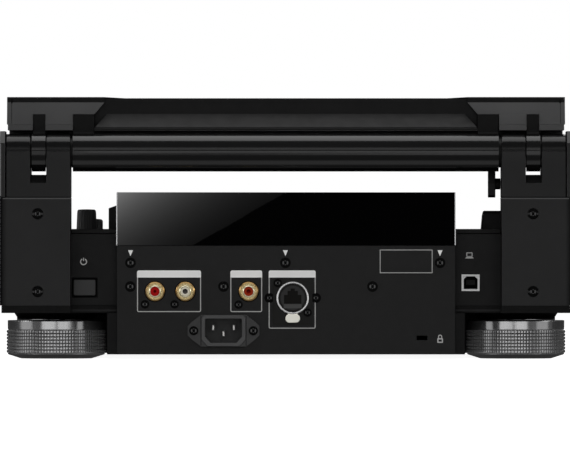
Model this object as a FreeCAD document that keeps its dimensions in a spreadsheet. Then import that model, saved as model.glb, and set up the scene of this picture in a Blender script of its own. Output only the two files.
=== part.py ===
import FreeCAD, Part
import Sketcher
import math
import os
import re
import sys

# Disc multi-player with a fold-out touch display, display folded closed.
# +X is the operator's right, -Y the operator's side, +Y the connector side,
# +Z up. Origin: middle of the footprint, on the surface it stands on.

V = FreeCAD.Vector
doc = FreeCAD.newDocument("disc_player")
sheet = doc.addObject("Spreadsheet::Sheet", "Dims")

DIMS = [
    ("belly_low", 3.1), ("base_low", 30.4), ("base_top", 35.3),
    ("belly_half", 117.8), ("panel_half", 111.2), ("panel_top", 74.6),
    ("panel_rear", 205.0), ("panel_thick", 1.5), ("cover_rear", 197.0),
    ("gloss_top", 109.8), ("gloss_half", 111.5),
    ("deck_rear", 197.0), ("deck_top", 85.7), ("deck_tilt", 3.0),
    ("deck_thick", 3.0), ("deck_half", 184.2), ("deck_run", 409.0),
    ("side_in", 184.6), ("side_out", 188.2), ("side_top", 150.0),
    ("tower_in", 141.8), ("tower_out", 183.9), ("tower_front", 157.0),
    ("tower_rear", 217.0), ("tower_seam", 106.4),
    ("slot_in", 157.6), ("slot_out", 168.1), ("slot_floor", 121.3),
    ("slot_rear_floor", 115.9),
    ("axis_height", 136.1), ("axis_depth", 204.35), ("barrel_rad", 12.65),
    ("barrel_half", 140.0), ("nose_rad", 12.05), ("knuckle_in", 158.1), ("knuckle_out", 167.1),
    ("hinge_pin_rad", 5.0), ("running", 0.05),
    ("disp_low", 150.5), ("disp_top", 172.5), ("disp_half", 183.6),
    ("disp_front", -28.0), ("disp_rear", 207.2), ("bezel_top", 154.5),
    ("glass_half", 160.0), ("glass_front", -19.0), ("glass_rear", 146.0),
    ("foot_x", 152.1), ("foot_rear", 145.0), ("foot_front", -165.0),
    ("foot_rad", 33.0), ("foot_band", 32.2), ("stud_rad", 6.0),
    ("bezel_front", -215.5), ("bezel_back", -211.8),
    ("slot_low", 44.8), ("slot_high", 50.0), ("slot_half", 62.0),
    ("drive_half", 66.0), ("drive_front", -206.5), ("drive_rear", -83.5),
    ("drive_top", 57.5), ("hub_depth", -145.0),
    ("jog_run", -249.3), ("jog_rad", 103.0), ("jog_post", 30.0),
    ("inlet_x", 41.1), ("inlet_height", 18.75),
    ("net_x", -4.4), ("net_height", 40.3),
    ("button_gap", 0.4),
]
for i, (alias, value) in enumerate(DIMS):
    cell = "B%d" % (i + 1)
    sheet.set("A%d" % (i + 1), alias)
    sheet.set(cell, repr(value))
    sheet.setAlias(cell, alias)
doc.recompute()
D = dict(DIMS)
WORD = re.compile(r"[a-z][a-z_]+")


def ex(s):
    """A number or a formula in the sheet's words, as a bound formula."""
    if not isinstance(s, str):
        return repr(float(s))
    return WORD.sub(lambda m: "Dims." + m.group(0) if m.group(0) in D else m.group(0), s)


def num(s):
    if not isinstance(s, str):
        return float(s)
    total = 0.0
    for sign, term in re.findall(r"([+-]?)\s*([a-z_]+|\d+\.?\d*)", s):
        total += (-1.0 if sign == "-" else 1.0) * (D[term] if term in D else float(term))
    return total


COUNT = [0]


def nm(kind):
    COUNT[0] += 1
    return "%s%03d" % (kind, COUNT[0])


def sub(a, b):
    return "(%s) - (%s)" % (ex(a), ex(b))


def box(x0, x1, y0, y1, z0, z1):
    b = doc.addObject("Part::Box", nm("Block"))
    b.setExpression("Length", sub(x1, x0))
    b.setExpression("Width", sub(y1, y0))
    b.setExpression("Height", sub(z1, z0))
    b.setExpression("Placement.Base.x", ex(x0))
    b.setExpression("Placement.Base.y", ex(y0))
    b.setExpression("Placement.Base.z", ex(z0))
    return b


TURN = {"X": FreeCAD.Rotation(V(0, 1, 0), 90), "Y": FreeCAD.Rotation(V(1, 0, 0), -90),
        "Z": FreeCAD.Rotation()}


def cyl(axis, rad, lo, hi, a, b):
    """A round bar along an axis from lo to hi; a, b are its other two coordinates."""
    c = doc.addObject("Part::Cylinder", nm("Round"))
    c.setExpression("Radius", ex(rad))
    c.setExpression("Height", sub(hi, lo))
    base = {"X": (lo, a, b), "Y": (a, lo, b), "Z": (a, b, lo)}[axis]
    c.Placement = FreeCAD.Placement(V(0, 0, 0), TURN[axis])
    for k, e in zip("xyz", base):
        c.setExpression("Placement.Base." + k, ex(e))
    return c


def cut(base, *tools):
    c = doc.addObject("Part::Cut", nm("Less"))
    c.Base = base
    c.Tool = tools[0] if len(tools) == 1 else join(*tools)
    return c


def join(*parts):
    if len(parts) == 1:
        return parts[0]
    f = doc.addObject("Part::MultiFuse", nm("Joined"))
    f.Shapes = list(parts)
    f.Refine = True
    return f


def group(*parts):
    g = doc.addObject("Part::Compound", nm("Group"))
    g.Links = list(parts)
    return g


def sketch(body, role, pts, off=0.0):
    plane = [f for f in body.Origin.OriginFeatures if f.Role == role][0]
    sk = body.newObject("Sketcher::SketchObject", nm("Outline"))
    sk.AttachmentSupport = (plane, [""])
    sk.MapMode = "FlatFace"
    sk.setExpression("AttachmentOffset.Base.z", ex(off))
    v = [V(num(a), num(b), 0) for a, b in pts]
    n = len(v)
    ids = sk.addGeometry([Part.LineSegment(v[i], v[(i + 1) % n]) for i in range(n)], False)
    for i in range(n):
        sk.addConstraint(Sketcher.Constraint("Coincident", ids[i], 2, ids[(i + 1) % n], 1))
    for i, (a, b) in enumerate(pts):
        k = sk.addConstraint(Sketcher.Constraint("DistanceX", -1, 1, ids[i], 1, v[i].x))
        if isinstance(a, str):
            sk.setExpression("Constraints[%d]" % k, ex(a))
        k = sk.addConstraint(Sketcher.Constraint("DistanceY", -1, 1, ids[i], 1, v[i].y))
        if isinstance(b, str):
            sk.setExpression("Constraints[%d]" % k, ex(b))
    return sk


def prism(plane, pts, lo, hi):
    """A padded outline. XY: pts are (x, y); XZ: (x, z); YZ: (y, z)."""
    body = doc.addObject("PartDesign::Body", nm("Body"))
    off = "-(%s)" % hi if plane == "XZ" else lo
    if plane == "XZ" and not isinstance(hi, str):
        off = -float(hi)
    sk = sketch(body, plane + "_Plane", pts, off)
    p = body.newObject("PartDesign::Pad", nm("Pad"))
    p.Profile = sk
    p.setExpression("Length", sub(hi, lo))
    return body


def turned(pts):
    """A turned piece about +Z: pts are (radius, height)."""
    body = doc.addObject("PartDesign::Body", nm("Body"))
    sk = sketch(body, "XZ_Plane", pts)
    r = body.newObject("PartDesign::Revolution", nm("Turned"))
    r.Profile = sk
    r.ReferenceAxis = (sk, ["V_Axis"])
    r.Angle = 360
    return body


def at(obj, x=0, y=0, z=0, rot=None):
    obj.Placement = FreeCAD.Placement(V(num(x), num(y), num(z)), rot or FreeCAD.Rotation())
    for k, e in zip("xyz", (x, y, z)):
        if isinstance(e, str):
            obj.setExpression("Placement.Base." + k, ex(e))
    return obj


def on_deck(obj, x=0.0, run=0.0, rise=0.0, spin=0.0):
    """Sets a piece on the sloping deck: run is measured back from the deck's rear edge."""
    a = math.radians(D["deck_tilt"])
    rot = FreeCAD.Rotation(V(1, 0, 0), D["deck_tilt"]).multiply(FreeCAD.Rotation(V(0, 0, 1), spin))
    obj.Placement = FreeCAD.Placement(V(x, D["deck_rear"] + run * math.cos(a) - rise * math.sin(a),
                                        D["deck_top"] + run * math.sin(a) + rise * math.cos(a)), rot)
    obj.setExpression("Placement.Base.y", "Dims.deck_rear + (%r) * cos(Dims.deck_tilt * 1 deg) - (%r) * sin(Dims.deck_tilt * 1 deg)" % (run, rise))
    obj.setExpression("Placement.Base.z", "Dims.deck_top + (%r) * sin(Dims.deck_tilt * 1 deg) + (%r) * cos(Dims.deck_tilt * 1 deg)" % (run, rise))
    return obj


NODES = []


def node(label, obj):
    obj.Label = label
    NODES.append((label, obj))
    return obj


def mirror_pts(pts, s):
    """Outline in x mirrored to the side s (+1 right, -1 left)."""
    out = []
    for a, b in pts:
        if s > 0:
            out.append((a, b))
        else:
            out.append(("-" + a if isinstance(a, str) else -a, b))
    return out


def sx(s, lo, hi):
    """An x span on side s."""
    if s > 0:
        return lo, hi
    neg = lambda e: ("-" + e if "+" not in e and "-" not in e else "-(%s)" % e) if isinstance(e, str) else -e
    return neg(hi), neg(lo)


# ---------------------------------------------------------------- chassis
# Folded steel belly between the feet; its rear is closed by the rear panel.
tray = box("-belly_half", "belly_half", -195, "panel_rear - panel_thick", "belly_low", "base_low")
wide = box(-136.0, 136.0, -122.0, 102.0, "belly_low", "base_low")
wide_in = box(-134.5, 134.5, -120.5, 100.5, "belly_low + 1.5", "base_low + 1")
inner = box("-belly_half + 1.5", "belly_half - 1.5", -193.5, "panel_rear - panel_thick - 1.5", "belly_low + 1.5", "base_low + 1")
back_gap = box(-109.5, 109.5, 195, 204, "belly_low + 1.5", "base_low + 1")
vents = [box(-60 + 24 * k, -46 + 24 * k, 20 + 9 * r, 24 + 9 * r, 2, 6) for k in range(6) for r in range(4)]
node("bottom_chassis", cut(join(tray, wide), inner, wide_in, back_gap, *vents))

# Base plate with the four foot bushes' holes and the open middle.
plate = prism("XY", [(-187, -211.6), (187, -211.6), (187, "tower_rear"), (141.6, "tower_rear"),
                     (141.6, "cover_rear"), ("panel_half", "cover_rear"), ("panel_half", "panel_rear - panel_thick"),
                     ("-panel_half", "panel_rear - panel_thick"), ("-panel_half", "cover_rear"), (-141.6, "cover_rear"),
                     (-141.6, "tower_rear"), (-187, "tower_rear")], "base_low", "base_top")
middle = box(-104, 104, -70, 190, 29, 37)
FEET = [("foot_rear_right", 1, "foot_rear"), ("foot_rear_left", -1, "foot_rear"),
        ("foot_front_right", 1, "foot_front"), ("foot_front_left", -1, "foot_front")]
foot_holes = [cyl("Z", 6.5, 29, 37, ("foot_x" if s > 0 else "-foot_x"), y) for n, s, y in FEET]
socket_way = [cyl("Y", 11.3, 189.8, 206.0, "net_x", "net_height")]
screw_ways = [cyl("Y", 1.5, 199.0, 206.0, x, z) for x, z in ((92.8, 36.1), (73.3, 36.1), (31.2, 35.9), (-14.2, 30.7))]
node("base_plate", cut(plate, middle, *(foot_holes + socket_way + screw_ways)))

# Feet: knurled turned metal rings with a stud, under black tapered necks.
necks = []
for name, s, y in FEET:
    neck = turned([("stud_rad + running", 26.0), (25.2, 26.0), (28.0, "base_low"), ("stud_rad + running", "base_low")])
    necks.append(at(neck, "foot_x" if s > 0 else "-foot_x", y))
    foot = turned([(0, 0.6), (18, 0.6), (18, 0), (23.9, 0), ("foot_rad", 3.7), ("foot_rad", 19.5), ("foot_band", 19.9),
                   ("foot_band", 24.9), (30.2, 25.5), ("stud_rad", 25.5), ("stud_rad", 47.0), (5.2, 48.0), (0, 48.0)])
    node(name, at(foot, "foot_x" if s > 0 else "-foot_x", y))
node("foot_necks", group(*necks))

# ---------------------------------------------------------------- rear
screws = []
holes = []


def screw(x, z, face, head, shank=1.5, deep=5.5, tall=1.3, drive=1.1):
    """A round-headed screw in the rear; returns its clearance hole."""
    h = cyl("Y", head, face, face + tall, x, z)
    sh = cyl("Y", shank - 0.05, face - deep, face + 0.2, x, z)
    cross_a = box(x - 1.6, x + 1.6, face + tall - drive, face + tall + 1, z - 0.4, z + 0.4)
    cross_b = box(x - 0.4, x + 0.4, face + tall - drive, face + tall + 1, z - 1.6, z + 1.6)
    screws.append(cut(join(h, sh), cross_a, cross_b))
    return cyl("Y", shank, face - deep - 0.3, face + 1.0, x, z)


rp = D["panel_rear"]
for x, z, hd in [(102.3, 63.4, 3.1), (0.4, 63.4, 3.1), (-101.3, 63.4, 3.1), (102.4, 47.8, 3.1),
                 (41.1, 47.8, 3.1), (-56.9, 47.8, 3.1), (92.8, 36.1, 2.4), (73.3, 36.1, 2.4), (31.2, 35.9, 2.4)]:
    holes.append(screw(x, z, rp, hd))
panel = box("-panel_half", "panel_half", "panel_rear - panel_thick", "panel_rear", "belly_low", "panel_top")
inlet_hole = box("inlet_x - 13.6", "inlet_x + 13.6", 200, 210, "inlet_height - 9.8", "inlet_height + 9.8")
net_hole = cyl("Y", 11.3, 200, 210, "net_x", "net_height")
JACKS = [(86.2, 44.6), (66.3, 44.6), (24.6, 44.6)]
jack_holes = [cyl("Y", 4.2, 200, 210, x, z) for x, z in JACKS]
lock_slot = box(-93.0, -86.0, 200, 210, 12.5, 15.5)
inlet_screw_holes = [screw(D["inlet_x"] + d, D["inlet_height"], rp + 2.2, 3.0, deep=7.0) for d in (-19.6, 19.6)]
net_screw_holes = [screw(x, z, rp + 1.2, 2.7, deep=6.5) for x, z in ((5.4, 50.1), (-14.2, 30.7))]
flank_holes = [screw(x, 40.3, rp, 2.0) for x in (10.9, -19.7)]
node("rear_panel", cut(panel, inlet_hole, net_hole, lock_slot, *(jack_holes + holes + inlet_screw_holes + net_screw_holes + flank_holes)))

# Gloss panel above, closing the raised housing.
node("gloss_panel", box("-gloss_half", "gloss_half", 203.4, "panel_rear + 0.5", "panel_top + 0.2", "gloss_top"))

# Rear covers beside the panel, with a return flange to the panel.
for side, s in (("right", 1), ("left", -1)):
    pts = mirror_pts([(109.8, 195.5), ("tower_in - 0.2", 195.5), ("tower_in - 0.2", 197.0), ("panel_half", 197.0),
                      ("panel_half", 203.4), (109.8, 203.4)], 1)
    if s < 0:
        pts = [(-109.8, 195.5), ("-tower_in + 0.2", 195.5), ("-tower_in + 0.2", 197.0), ("-panel_half", 197.0),
               ("-panel_half", 203.4), (-109.8, 203.4)]
    cover = prism("XY", pts, "base_top", 82.4)
    if s > 0:
        recess = box(123.0, 141.6, 186.0, 195.6, 39.4, 54.7)
        well = box(124.3, 140.9, 187.4, 198.0, 40.7, 53.5)
        node("rear_cover_right", cut(join(cover, recess), well))
    else:
        port_hole = box(-127.6, -115.6, 190, 198, 44.8, 55.8)
        node("rear_cover_left", cut(cover, port_hole))
node("power_button", prism("XZ", [(125.3, 42.5), (126.0, 41.8), (139.3, 41.8), (140.0, 42.5), (140.0, 51.6), (139.3, 52.3),
                                  (126.0, 52.3), (125.3, 51.6)], 190.4, 198.4))

# Data port on the left rear cover: metal shell, cavity and tongue.
shell = box(-127.6, -115.6, 184.0, 197.8, 44.8, 55.8)
cave = box(-126.1, -117.1, 186.0, 198.5, 46.2, 54.4)
tongue = box(-124.4, -118.8, 185.5, 196.4, 48.8, 52.0)
node("data_port", join(cut(shell, cave), tongue))

# ---------------------------------------------------------------- connectors
ix, iz = D["inlet_x"], D["inlet_height"]
flange = prism("XZ", [(ix - 23.6, iz - 3.0), (ix - 21.0, iz - 5.7), (ix - 14.8, iz - 10.4), (ix + 14.8, iz - 10.4), (ix + 21.0, iz - 5.7),
                      (ix + 23.6, iz - 3.0), (ix + 23.6, iz + 3.0), (ix + 21.0, iz + 5.7), (ix + 14.8, iz + 10.4),
                      (ix - 14.8, iz + 10.4), (ix - 21.0, iz + 5.7), (ix - 23.6, iz + 3.0)], "panel_rear", "panel_rear + 2.2")
body = box("inlet_x - 13.6", "inlet_x + 13.6", 186.0, "panel_rear", "inlet_height - 9.8", "inlet_height + 9.8")
cavity = prism("XZ", [(ix - 12.1, iz + 7.9), (ix + 12.1, iz + 7.9), (ix + 12.1, iz - 4.0), (ix + 8.5, iz - 7.9), (ix - 8.5, iz - 7.9),
                      (ix - 12.1, iz - 4.0)], 188.5, 209.0)
rim = prism("XZ", [(ix - 12.6, iz + 10.3), (ix + 12.6, iz + 10.3), (ix + 14.5, iz + 8.4), (ix + 14.5, iz - 5.7), (ix + 10.6, iz - 10.3),
                   (ix - 10.6, iz - 10.3), (ix - 14.5, iz - 5.7), (ix - 14.5, iz + 8.4)], "panel_rear + 1.0", "panel_rear + 3.1")
blade_slots = [box(ix + dx - 1.0, ix + dx + 1.0, 185.0, 190.0, iz + dz - 2.0, iz + dz + 2.0) for dx, dz in ((-6.8, 2.0), (0, -2.0), (6.8, 2.0))]
fl_holes = [cyl("Y", 1.5, 200, 210, ix + d, iz) for d in (-19.6, 19.6)]
inlet = cut(join(flange, body, rim), cavity, *(blade_slots + fl_holes))
blades = [box(ix + dx - 1.0, ix + dx + 1.0, 180.0, 202.2, iz + dz - 2.0, iz + dz + 2.0) for dx, dz in ((-6.8, 2.0), (0, -2.0), (6.8, 2.0))]
node("mains_inlet", group(inlet, *blades))

jacks, inserts = [], []
for x, z in JACKS:
    washer = cyl("Y", 6.1, rp, rp + 1.2, x, z)
    sleeve = cyl("Y", 4.15, 198.0, rp + 8.6, x, z)
    jacks.append(cut(join(washer, sleeve), cyl("Y", 3.35, 197, rp + 9, x, z)))
    inserts.append(cut(cyl("Y", 3.35, 198.0, rp + 8.2, x, z), cyl("Y", 1.6, rp - 1, rp + 9, x, z)))
node("coax_jacks", group(*(jacks + inserts)))

nx, nz = D["net_x"], D["net_height"]
nf = box(nx - 13.0, nx + 13.0, rp, rp + 1.2, nz - 17.6, nz + 13.4)
nb = cyl("Y", 11.25, 190.0, rp + 0.1, "net_x", "net_height")
ring = cut(cyl("Y", 10.7, rp + 1.2, rp + 2.6, "net_x", "net_height"), cyl("Y", 9.7, rp + 1.2, rp + 3, "net_x", "net_height"))
socket = box(nx - 6.0, nx + 6.0, 192.5, rp + 3, nz - 4.3, nz + 6.3)
node("network_connector", cut(join(nf, nb, ring), socket, *[cyl("Y", 1.5, 200, 208, x, z) for x, z in ((5.4, 50.1), (-14.2, 30.7))]))
node("network_latch", prism("XZ", [(nx - 4.8, nz - 16.3), (nx + 4.8, nz - 16.3), (nx + 4.8, nz - 11.7), (nx + 4.0, nz - 10.9),
                                   (nx - 4.0, nz - 10.9), (nx - 4.8, nz - 11.7)], rp + 1.5, rp + 3.4))

# ---------------------------------------------------------------- raised housing behind the wheel
hump = prism("YZ", [(203.2, 86.0), (203.2, "gloss_top"), (168.0, "gloss_top"), (138.0, 92.0), (138.0, 82.8), (197.2, 85.9)], "-gloss_half", "gloss_half")
hump_in = prism("YZ", [(204.0, 80.0), (204.0, 107.6), (169.0, 107.6), (140.2, 90.6), (140.2, 80.0)], -109.3, 109.3)
step = prism("YZ", [(165.0, 84.2), (165.0, 101.2), (154.0, 101.2), (140.0, 91.6), (140.0, 82.9)], "gloss_half - 1", 117.2)
step = cut(step, prism("XZ", [(111.8, 101.3), (117.4, 99.3), (117.4, 102.0), (111.8, 102.0)], 139.0, 166.0))
sl = [(165.6, 108.376), (141.6, 94.136), (142.366, 92.846), (166.366, 107.086)]
window = prism("YZ", sl, -86, 86)
pane = prism("YZ", sl, -86, 86)
node("display_hump", cut(join(hump, step), hump_in, window))
node("needle_pad", pane)

# ---------------------------------------------------------------- sloping deck, in its own frame
deck = prism("XY", [("-deck_half", "-deck_run"), ("deck_half", "-deck_run"), ("deck_half", -40.8), (141.4, -40.8), (141.4, 0.0),
                    (-141.4, 0.0), (-141.4, -40.8), ("-deck_half", -40.8)], "-deck_thick", 0.0)
# Buttons: name, x, run, kind and size. Round: radius; bar: half width, half depth.
BUTTONS = [("play_button", -148.0, -384.0, 16.5, None), ("cue_button", -148.0, -340.0, 16.5, None),
           ("track_back_button", -160.0, -304.0, 9.0, 6.0), ("track_next_button", -136.0, -304.0, 9.0, 6.0),
           ("loop_in_button", -160.0, -140.0, 9.5, None), ("loop_out_button", -134.0, -140.0, 9.5, None)]
tools = [cyl("Z", 30.2, -5, 2, 0, "jog_run"), box(145.0, 149.0, -330.0, -210.0, -5, 1),
         cyl("Z", 3.2, -5, 1, 132.1, -57.1), cyl("Z", 3.2, -5, 1, 130.4, -100.0),
         box(-157.0, -143.0, -76.0, -62.0, -5, 1)]
for bn, bx, by, br, bd in BUTTONS:
    if bd is None:
        tools.append(cyl("Z", "%r + button_gap" % br, -5, 1, bx, by))
    else:
        tools.append(box("%r - button_gap" % (bx - br), "%r + button_gap" % (bx + br), "%r - button_gap" % (by - bd), "%r + button_gap" % (by + bd), -5, 1))
node("top_deck", on_deck(cut(deck, *tools)))
for bn, bx, by, br, bd in BUTTONS:
    if bd is None:
        tall = 3.6 if br > 12 else 3.0
        b = turned([(0, -8.0), (br, -8.0), (br, tall - 0.8), (br - 0.8, tall), (0, tall)])
    else:
        b = prism("YZ", [(-bd, -8.0), (bd, -8.0), (bd, 2.0), (bd - 0.8, 2.8), (-bd + 0.8, 2.8), (-bd, 2.0)], -br, br)
    node(bn, on_deck(b, bx, by))

# Switch boards under the buttons carry them.
standoffs = [cyl("Z", 2.5, -13.1, "-deck_thick", x, y) for x, y in ((-173, -401), (-119, -401), (-173, -293), (-119, -293))]
standoffs_b = [cyl("Z", 2.5, -13.1, "-deck_thick", x, y) for x, y in ((-175, -125), (-119, -155))]
node("panel_board", on_deck(group(join(box(-176, -116, -404, -290, -14.6, -13), *standoffs), join(box(-178, -116, -158, -122, -14.6, -13), *standoffs_b))))

# Jog wheel: fixed post and centre display, turning plate and rim.
post = turned([(24.0, -12.5), (40.0, -12.5), (40.0, -3.0), (30.0, -3.0), (30.0, 9.4), (24.0, 9.4)])
node("jog_bearing", on_deck(post, 0, D["jog_run"]))
node("jog_display", on_deck(turned([(0, 9.4), (29.6, 9.4), (29.6, 12.0), (28.6, 12.8), (0, 12.8)]), 0, D["jog_run"]))
node("jog_plate", on_deck(turned([("jog_post + running", 1.4), (86.0, 1.4), (86.0, 11.4), (84.6, 12.2), (32.0, 12.2), (31.0, 9.0), ("jog_post + running", 9.0)]), 0, D["jog_run"]))
rim_base = turned([(86.0, 1.0), ("jog_rad", 1.0), ("jog_rad", 9.0), (100.0, 12.0), (88.0, 12.6), (86.0, 11.4)])
dips = []
for k in range(24):
    a = math.radians(15.0 * k)
    d = doc.addObject("Part::Sphere", nm("Dip"))
    d.Radius = 9.0
    d.Placement = FreeCAD.Placement(V(94.2 * math.cos(a), 94.2 * math.sin(a), 19.2), FreeCAD.Rotation())
    dips.append(d)
node("jog_rim", on_deck(cut(rim_base, *dips), 0, D["jog_run"]))

# Tempo slider: rail under the deck and a cap on a stem.
rail = cut(box(139.0, 155.0, -340.0, -200.0, -16.0, "-deck_thick"), box(141.0, 153.0, -338.0, -202.0, -14.0, -2.0))
node("tempo_rail", on_deck(rail))
cap = prism("YZ", [(-279.0, 1.2), (-261.0, 1.2), (-261.0, 8.2), (-265.0, 11.0), (-268.6, 9.4), (-271.4, 9.4), (-275.0, 11.0), (-279.0, 8.2)], 137.5, 156.5)
stem = box(145.6, 148.4, -273.0, -267.0, -10.0, 1.6)
node("tempo_knob", on_deck(join(cap, stem)))

# Knobs seen over the rear edge.
node("speed_knob", on_deck(turned([(0, -10), (3.15, -10), (3.15, 1.0), (6.8, 1.0), (6.8, 2.6), (6.2, 15.0), (5.5, 15.8), (0, 15.8)]), 132.1, -57.1))
node("selector_knob", on_deck(turned([(0, -10), (3.15, -10), (3.15, 0.8), (8.5, 0.8), (8.5, 10.6), (7.7, 11.6), (0, 11.6)]), 130.4, -100.0))

# Port housing on the deck at the left, with a flap over the socket.
ph = prism("YZ", [(-98.0, 0.0), (-46.0, 0.0), (-46.0, 13.4), (-48.5, 14.6), (-90.0, 14.6), (-98.0, 6.0)], -180.0, -128.4)
flap_well = box(-162.3, -137.7, -84.2, -56.8, 12.3, 16)
usb_well = box(-156.5, -143.5, -72.0, -66.6, -2.0, 14)
draft = prism("XZ", [(-129.1, -0.1), (-130.3, 14.7), (-128.0, 14.7), (-128.0, -0.1)], -99.0, -45.0)
node("port_housing", on_deck(cut(ph, flap_well, usb_well, draft)))
fl = prism("YZ", [(-83.8, 12.6), (-58.2, 12.6), (-58.2, 14.5), (-83.0, 14.5), (-83.8, 13.8)], -162.0, -138.0)
fl_pin = cyl("X", 0.95, -162.0, -138.0, -58.2, 13.55)
node("port_flap", on_deck(join(fl, fl_pin)))

# ---------------------------------------------------------------- towers
for side, s in (("right", 1), ("left", -1)):
    a, b = ("tower_in", "tower_out") if s > 0 else ("-tower_out", "-tower_in")
    wa, wb = ("tower_in + 3", "tower_out - 3") if s > 0 else ("-tower_out + 3", "-tower_in - 3")
    c0 = 163.2 if s > 0 else -162.4
    la, lb = ("tower_in", "tower_out + 2.8") if s > 0 else ("-tower_out - 2.8", "-tower_in")
    low = box(la, lb, "tower_front", "tower_rear", "base_top", "tower_seam")
    room = box(wa, wb, "tower_front + 3", "tower_rear - 9", "base_top - 1", "tower_seam - 4")
    wells = [cyl("Y", 3.75, "tower_rear - 4", "tower_rear + 1", c0, z) for z in (95.6, 44.5)]
    shanks = [cyl("Y", 2.0, "tower_rear - 12", "tower_rear + 1", c0, z) for z in (95.6, 44.5)]
    node("tower_lower_" + side, cut(low, room, *(wells + shanks)))
    blk = box(a, b, "tower_front", "axis_depth", "tower_seam", "axis_height + nose_rad")
    heel = box(a, b, "axis_depth", "axis_depth + nose_rad", "tower_seam", "axis_height")
    nose = cyl("X", "nose_rad", a, b, "axis_depth", "axis_height")
    sa, sb = ("slot_in", "slot_out") if s > 0 else ("-slot_out", "-slot_in")
    gap = box(sa, sb, "tower_front - 1", "tower_rear + 1", "slot_floor", 150)
    drop = prism("YZ", [(218, "slot_rear_floor"), (218, 123), (207, 123), (207, "slot_floor"), (213.5, "slot_rear_floor")], sa, sb)
    bore = cyl("X", "hinge_pin_rad", a, b, "axis_depth", "axis_height")
    node("tower_upper_" + side, cut(join(blk, heel, nose), gap, drop, bore))
pins = []
for s in (1, -1):
    rods = [("hinge_pin_rad", 122.0, 183.0), (10.05, 140.35 if s > 0 else 139.95, 141.7), (10.05, 157.7, 158.0), (10.05, 167.2, 168.0)]
    pins.append(join(*[cyl("X", r, min(s * lo, s * hi), max(s * lo, s * hi), "axis_depth", "axis_height") for r, lo, hi in rods]))
node("hinge_pins", group(*pins))
ts = []
for c0 in (163.2, -162.4):
    for z in (95.6, 44.5):
        h = cyl("Y", 3.3, 213.0, 215.2, c0, z)
        shk = cyl("Y", 1.95, 205.5, 213.1, c0, z)
        hexa = cyl("Y", 1.5, 214.0, 216.0, c0, z)
        ts.append(cut(join(h, shk), hexa))
node("case_screws", group(*(screws + ts)))

# Side plates follow the deck and rise beside the towers.
prof = [(-215.5, "base_top"), (217.0, "base_top"), (217.0, 142.0), (209.0, "side_top"), (168.0, "side_top"), (157.0, 143.0),
        (157.0, 98.0), (146.0, 84.6), (-210.0, 66.0), (-215.5, 62.0)]
node("side_plate_right", cut(prism("YZ", prof, "side_in", "side_out"), box(184.0, 187.0, 156.6, 218.0, 35.0, 106.4)))
node("side_plate_left", cut(prism("YZ", prof, "-side_out", "-side_in"), box(-187.0, -184.0, 156.6, 218.0, 35.0, 106.4)))

# ---------------------------------------------------------------- display, folded closed
notches = []
for s in (1, -1):
    a, b = (158.3, 166.5) if s > 0 else (-166.5, -158.3)
    notches.append(box(a, b, 190.0, 210.0, 148, 161.2))
    a, b = (126.1, 140.2) if s > 0 else (-140.2, -126.1)
    notches.append(box(a, b, 190.0, 210.0, 148, 161.2))
cover = prism("YZ", [("disp_front", "bezel_top"), ("disp_rear - 1.4", "bezel_top"), (200.8, 168.9), (200.8, 171.5), (199.6, "disp_top"),
                     (-22.0, "disp_top"), (-26.4, 170.4), ("disp_front", 166.0)], "-disp_half", "disp_half")
cavity = box("-disp_half + 5", "disp_half - 5", -24, 184, "bezel_top - 1", "disp_top - 3")
# Recess across the middle of the rear edge, with a sloping ledge standing in it.
deep = prism("XZ", [(-119.7, 174), (-119.7, 168.7), (-126.3, 161.0), (-126.3, 152.2), (126.3, 152.2), (126.3, 161.0), (119.7, 168.7), (119.7, 174)], 196.5, 212.0)
deep_low = prism("XZ", [(-126.3, 160.0), (-126.3, 152.2), (126.3, 152.2), (126.3, 160.0)], 195.95, 212.0)
dip = prism("XZ", [(-121, 172.6), (-106, 171.75), (106, 171.75), (121, 172.6), (121, 174), (-121, 174)], -30, 212)
wedge = prism("YZ", [(196.0, 152.2), (205.9, 152.2), (205.9, 152.7), (196.7, 161.5), (196.0, 161.5)], -126.0, 126.0)
ends = [prism("XZ", [(126.1 * s, 152.0), (117.8 * s, 161.6), (126.5 * s, 161.6), (126.5 * s, 152.0)], 196.5, 212.0) for s in (1, -1)]
ledge = cut(wedge, *ends)
seams = [box(180.45, 180.7, 190, 210, 155, 171), box(-180.7, -180.45, 190, 210, 155, 171)]
node("display_cover", join(cut(cover, cavity, dip, deep, *(notches + seams)), ledge))
frame = prism("YZ", [("disp_front", 151.5), (-27.0, "disp_low"), ("disp_rear - 0.2", "disp_low"), ("disp_rear - 1.4", "bezel_top"), ("disp_front", "bezel_top")],
              "-disp_half + 0.6", "disp_half - 0.6")
hole = box("-glass_half", "glass_half", "glass_front", "glass_rear", 149, 156)
rib = box("-disp_half + 0.6", "disp_half - 0.6", 150.0, 155.5, 146.2, 152.0)
node("display_bezel", cut(join(frame, rib), hole, deep_low, *notches))
node("touch_glass", box("-glass_half", "glass_half", "glass_front", "glass_rear", "disp_low + 0.2", "disp_low + 2"))
node("lcd_panel", box("-glass_half + 1.5", "glass_half - 1.5", "glass_front + 1.5", "glass_rear - 1.5", "disp_low + 2", 158.5))

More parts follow.
